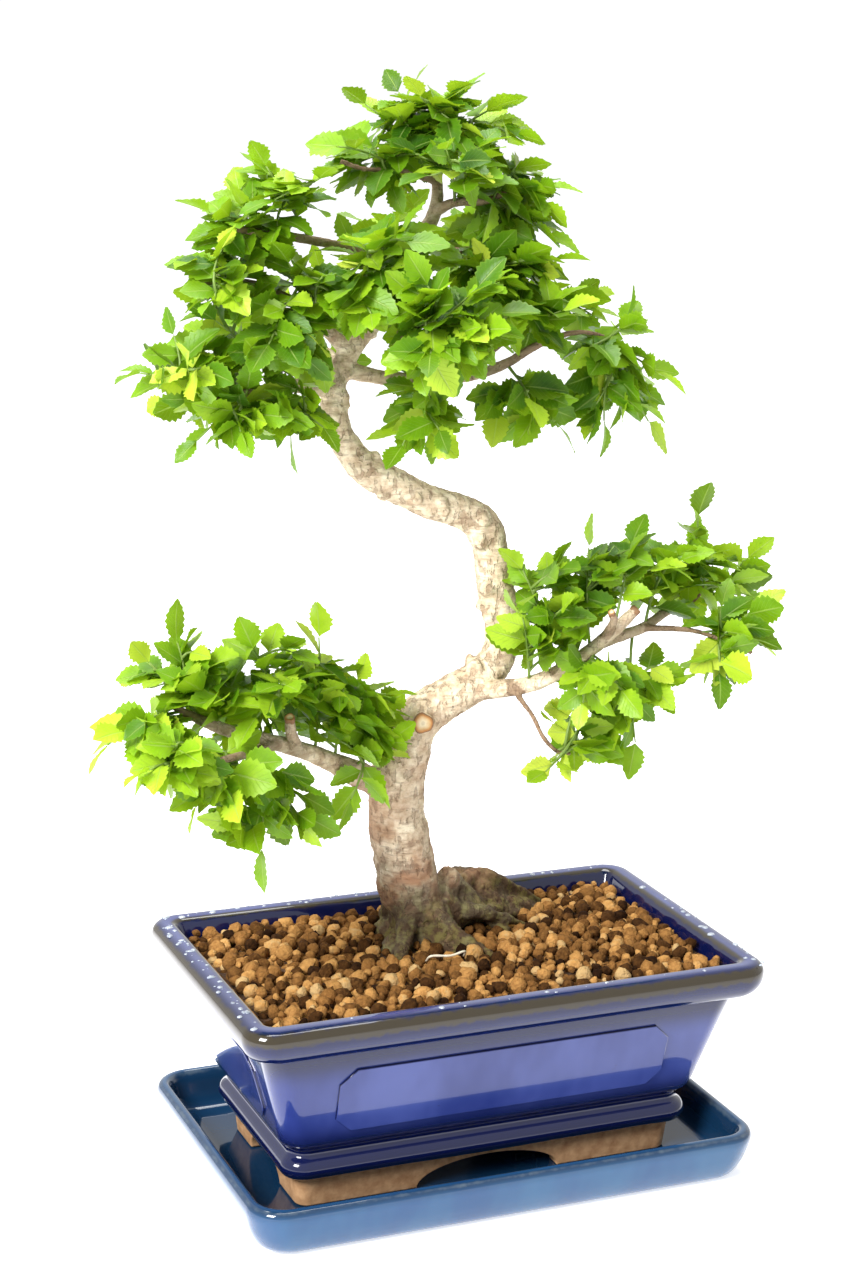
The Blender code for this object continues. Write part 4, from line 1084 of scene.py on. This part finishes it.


# %% [markdown]
# ## Shoots
# Leaves stand in two rows along each thin twig, smaller towards its tip, and turn their faces to
# the light, which is outwards from the middle of their pad. Painted light and shade: leaves at the
# outside of a pad are painted lighter than those inside, and so are the leaves of the two low pads.

# %% Foliage
# Each pad: its middle, how far its side twigs reach for it, and how many side twigs a shoot has.
PADS = {
    "low_left": (Vector((-74, -20, 177)), (40, 22, 20), 7),
    "right": (Vector((74, -8, 205)), (42, 24, 22), 5),
    "crown_left": (Vector((-58, 2, 315)), (40, 30, 34), 6),
    "apex": (Vector((-12, 4, 352)), (36, 30, 26), 6),
    "middle": (Vector((-8, -16, 310)), (50, 24, 40), 26),
    "crown_right": (Vector((16, 2, 298)), (44, 28, 18), 6),
    "back": (Vector((-8, 36, 318)), (44, 30, 36), 6),
}
LEAVES_ON_MAIN, LEAVES_ON_FORK, LEAVES_ON_SPUR = 7, 5, 5
LEAF_LENGTH, WIDTH_SHARE = (12.0, 18.5), (0.56, 0.70)
# The two low pads get a lighter tone: painted light.
LIT_PADS, LIT_PAD_TONE, USUAL_TONE = ("low_left", "right"), 0.36, 0.26
room_low, room_high = (Vector(c) for c in cad_bounds)
ROOM = Vector((0.012, 0.010, 0.008))
YELLOWED = {("low_left", 8), ("right", 11), ("crown_left", 3)}
YELLOWED_SHARE, USUAL_SHARE = 0.30, 0.025
leaf_total = 0


def arched(start, end, sag, rng, steps=6):
    start, end = Vector(start), Vector(end)
    wander = Vector([rng.uniform(-1.6, 1.6) for _ in range(3)])
    route = []
    for i in range(steps + 1):
        t = i / steps
        p = start.lerp(end, t) + (UP * sag + wander) * 4 * t * (1 - t)
        route.append((*p, 0.62 * (1 - 0.55 * t)))
    return route


def point_on(route, t):
    place = t * (len(route) - 1)
    i = min(int(place), len(route) - 2)
    a, b = Vector(route[i][:3]), Vector(route[i + 1][:3])
    return a.lerp(b, place - i), (b - a).normalized()


for region, rows in SHOOTS.items():
    centre, spread, spurs = PADS[region]
    for number, (start, tip, fork_tip) in enumerate(rows, 1):
        rng = random.Random(f"{region}{number}")
        shape = bmesh.new()
        layers = [shape.verts.layers.float.new(n) for n in ("along", "across", "tone", "young")]
        main = arched(start, tip, 2.0, rng)
        fork = arched(point_on(main, 0.33)[0], fork_tip, 1.0, rng, 5)
        stems = [(main, LEAVES_ON_MAIN), (fork, LEAVES_ON_FORK)]
        for _ in range(spurs):
            spur_start = point_on(rng.choice((main, main, fork)), rng.uniform(0.15, 0.9))[0]
            aim = centre + Vector([rng.uniform(-1, 1) * r for r in spread])
            way = (aim - spur_start).normalized()
            reach = min((aim - spur_start).length, rng.uniform(13, 24))
            spur_end = spur_start + (way * 0.75 + (Vector(tip) - Vector(start)).normalized() * 0.4) * reach
            stems.append((arched(spur_start, spur_end, 0.8, rng, 4), LEAVES_ON_SPUR))
        twig_faces = []
        for route, count in stems:
            twig_faces += add_tube(shape, route, 6)
            for k in range(count):
                t = 1.0 if k == count - 1 else 0.22 + 0.78 * (k + rng.uniform(0.1, 0.6)) / count
                here, along_way = point_on(route, t)
                sideways = along_way.cross(UP)
                if sideways.length <= 0.2:
                    sideways = along_way.orthogonal()
                sideways.normalize()
                hand = 1 if k % 2 else -1
                outward = (here - centre).normalized()
                scatter = Vector([rng.gauss(0, 0.28) for _ in range(3)])
                if k == count - 1:
                    direction = along_way + outward * 0.2 + scatter * 0.5
                else:
                    direction = (
                        along_way * 0.55 + sideways * hand * 0.85 + outward * 0.35 - UP * 0.12 + scatter
                    )
                direction.normalize()
                facing = outward * 0.75 + UP * 0.55 + Vector([rng.gauss(0, 0.35) for _ in range(3)])
                length = rng.uniform(*LEAF_LENGTH) * (1.0 - 0.18 * t)
                tip_place = (here + direction * length) * MM
                limits = zip(tip_place, room_low, room_high, ROOM)
                if any(not lo - spare < v < hi + spare for v, lo, hi, spare in limits):
                    direction = -UP * 0.6 - outward * 0.2 + along_way * 0.2
                    direction.normalize()
                # Painted light and shade: leaves far from the middle of their pad are lighter, those inside
                # darker.
                outer_lit_share = clamped((here - centre).length / 45)
                usual = LIT_PAD_TONE if region in LIT_PADS else USUAL_TONE
                tone_value = clamped(rng.gauss(usual + 0.30 * outer_lit_share, 0.21))
                young_share = YELLOWED_SHARE if (region, number) in YELLOWED else USUAL_SHARE
                age = rng.uniform(0.4, 0.9) if rng.random() < young_share else 0.0
                add_leaf(
                    shape, layers, here, direction, facing, length, length * rng.uniform(*WIDTH_SHARE),
                    rng.uniform(0.02, 0.22), rng.uniform(0.05, 0.38), tone_value, age,
                )
                leaf_total += 1
        for face in twig_faces:
            face.material_index = 1
        name = f"foliage_{region}_{number}"
        piece(mesh_from(shape, name), name, [LEAF, TWIG], [f"leaf_shoot_{region}_{number}"])
print("leaves:", leaf_total)

# %% [markdown]
# ## Floor and light
# A white floor, an even sky, a large soft lamp from the left and a weaker one overhead give the
# high, almost shadowless light of a plant on a white table. The camera and mirror reflections see
# a brighter sky than the one that lights the plant, so the background is white and the glaze
# keeps its gloss.

# %% Stage
SKY_LIGHT, SKY_SEEN = 0.46, 1.05
FLOOR_REACH = 6.0
floor_mesh = bpy.data.meshes.new("floor")
corners = [(FLOOR_REACH * x, FLOOR_REACH * y, 0) for x, y in ((-1, -1), (1, -1), (1, 1), (-1, 1))]
floor_mesh.from_pydata(corners, [], [(0, 1, 2, 3)])
floor = bpy.data.objects.new("floor", floor_mesh)
bpy.context.scene.collection.objects.link(floor)
FLOOR = Finish("white_table", Roughness=0.6)
FLOOR.surface(Base_Color=(0.86, 0.86, 0.90), Emission_Color=(1.0, 1.0, 1.0), Emission_Strength=0.66)
floor_mesh.materials.append(FLOOR.material)


def lamp(name, place, aim, size, power):
    data = bpy.data.lights.new(name, "AREA")
    data.size = size
    data.energy = power
    made = bpy.data.objects.new(name, data)
    made.location = place
    made.rotation_euler = (Vector(aim) - Vector(place)).to_track_quat("-Z", "Y").to_euler()
    bpy.context.scene.collection.objects.link(made)


lamp("key", (-1.1, -0.7, 1.1), (0, 0, 0.2), 0.6, 44)
lamp("top", (0.0, 0.2, 1.5), (0, 0, 0.3), 0.9, 24)

world = bpy.data.worlds.new("white_sky")
world.use_nodes = True
sky = world.node_tree
background = sky.nodes["Background"]
background.inputs["Color"].default_value = (1.0, 1.0, 1.0, 1.0)
rays = sky.nodes.new("ShaderNodeLightPath")
levels = sky.nodes.new("ShaderNodeMapRange")
levels.inputs["To Min"].default_value = SKY_LIGHT
levels.inputs["To Max"].default_value = SKY_SEEN
seen = sky.nodes.new("ShaderNodeMath")
seen.operation = "MAXIMUM"
sky.links.new(rays.outputs["Is Camera Ray"], seen.inputs[0])
sky.links.new(rays.outputs["Is Glossy Ray"], seen.inputs[1])
sky.links.new(seen.outputs["Value"], levels.inputs["Value"])
sky.links.new(levels.outputs["Result"], background.inputs["Strength"])
bpy.context.scene.world = world
bpy.context.scene.view_settings.view_transform = "Standard"
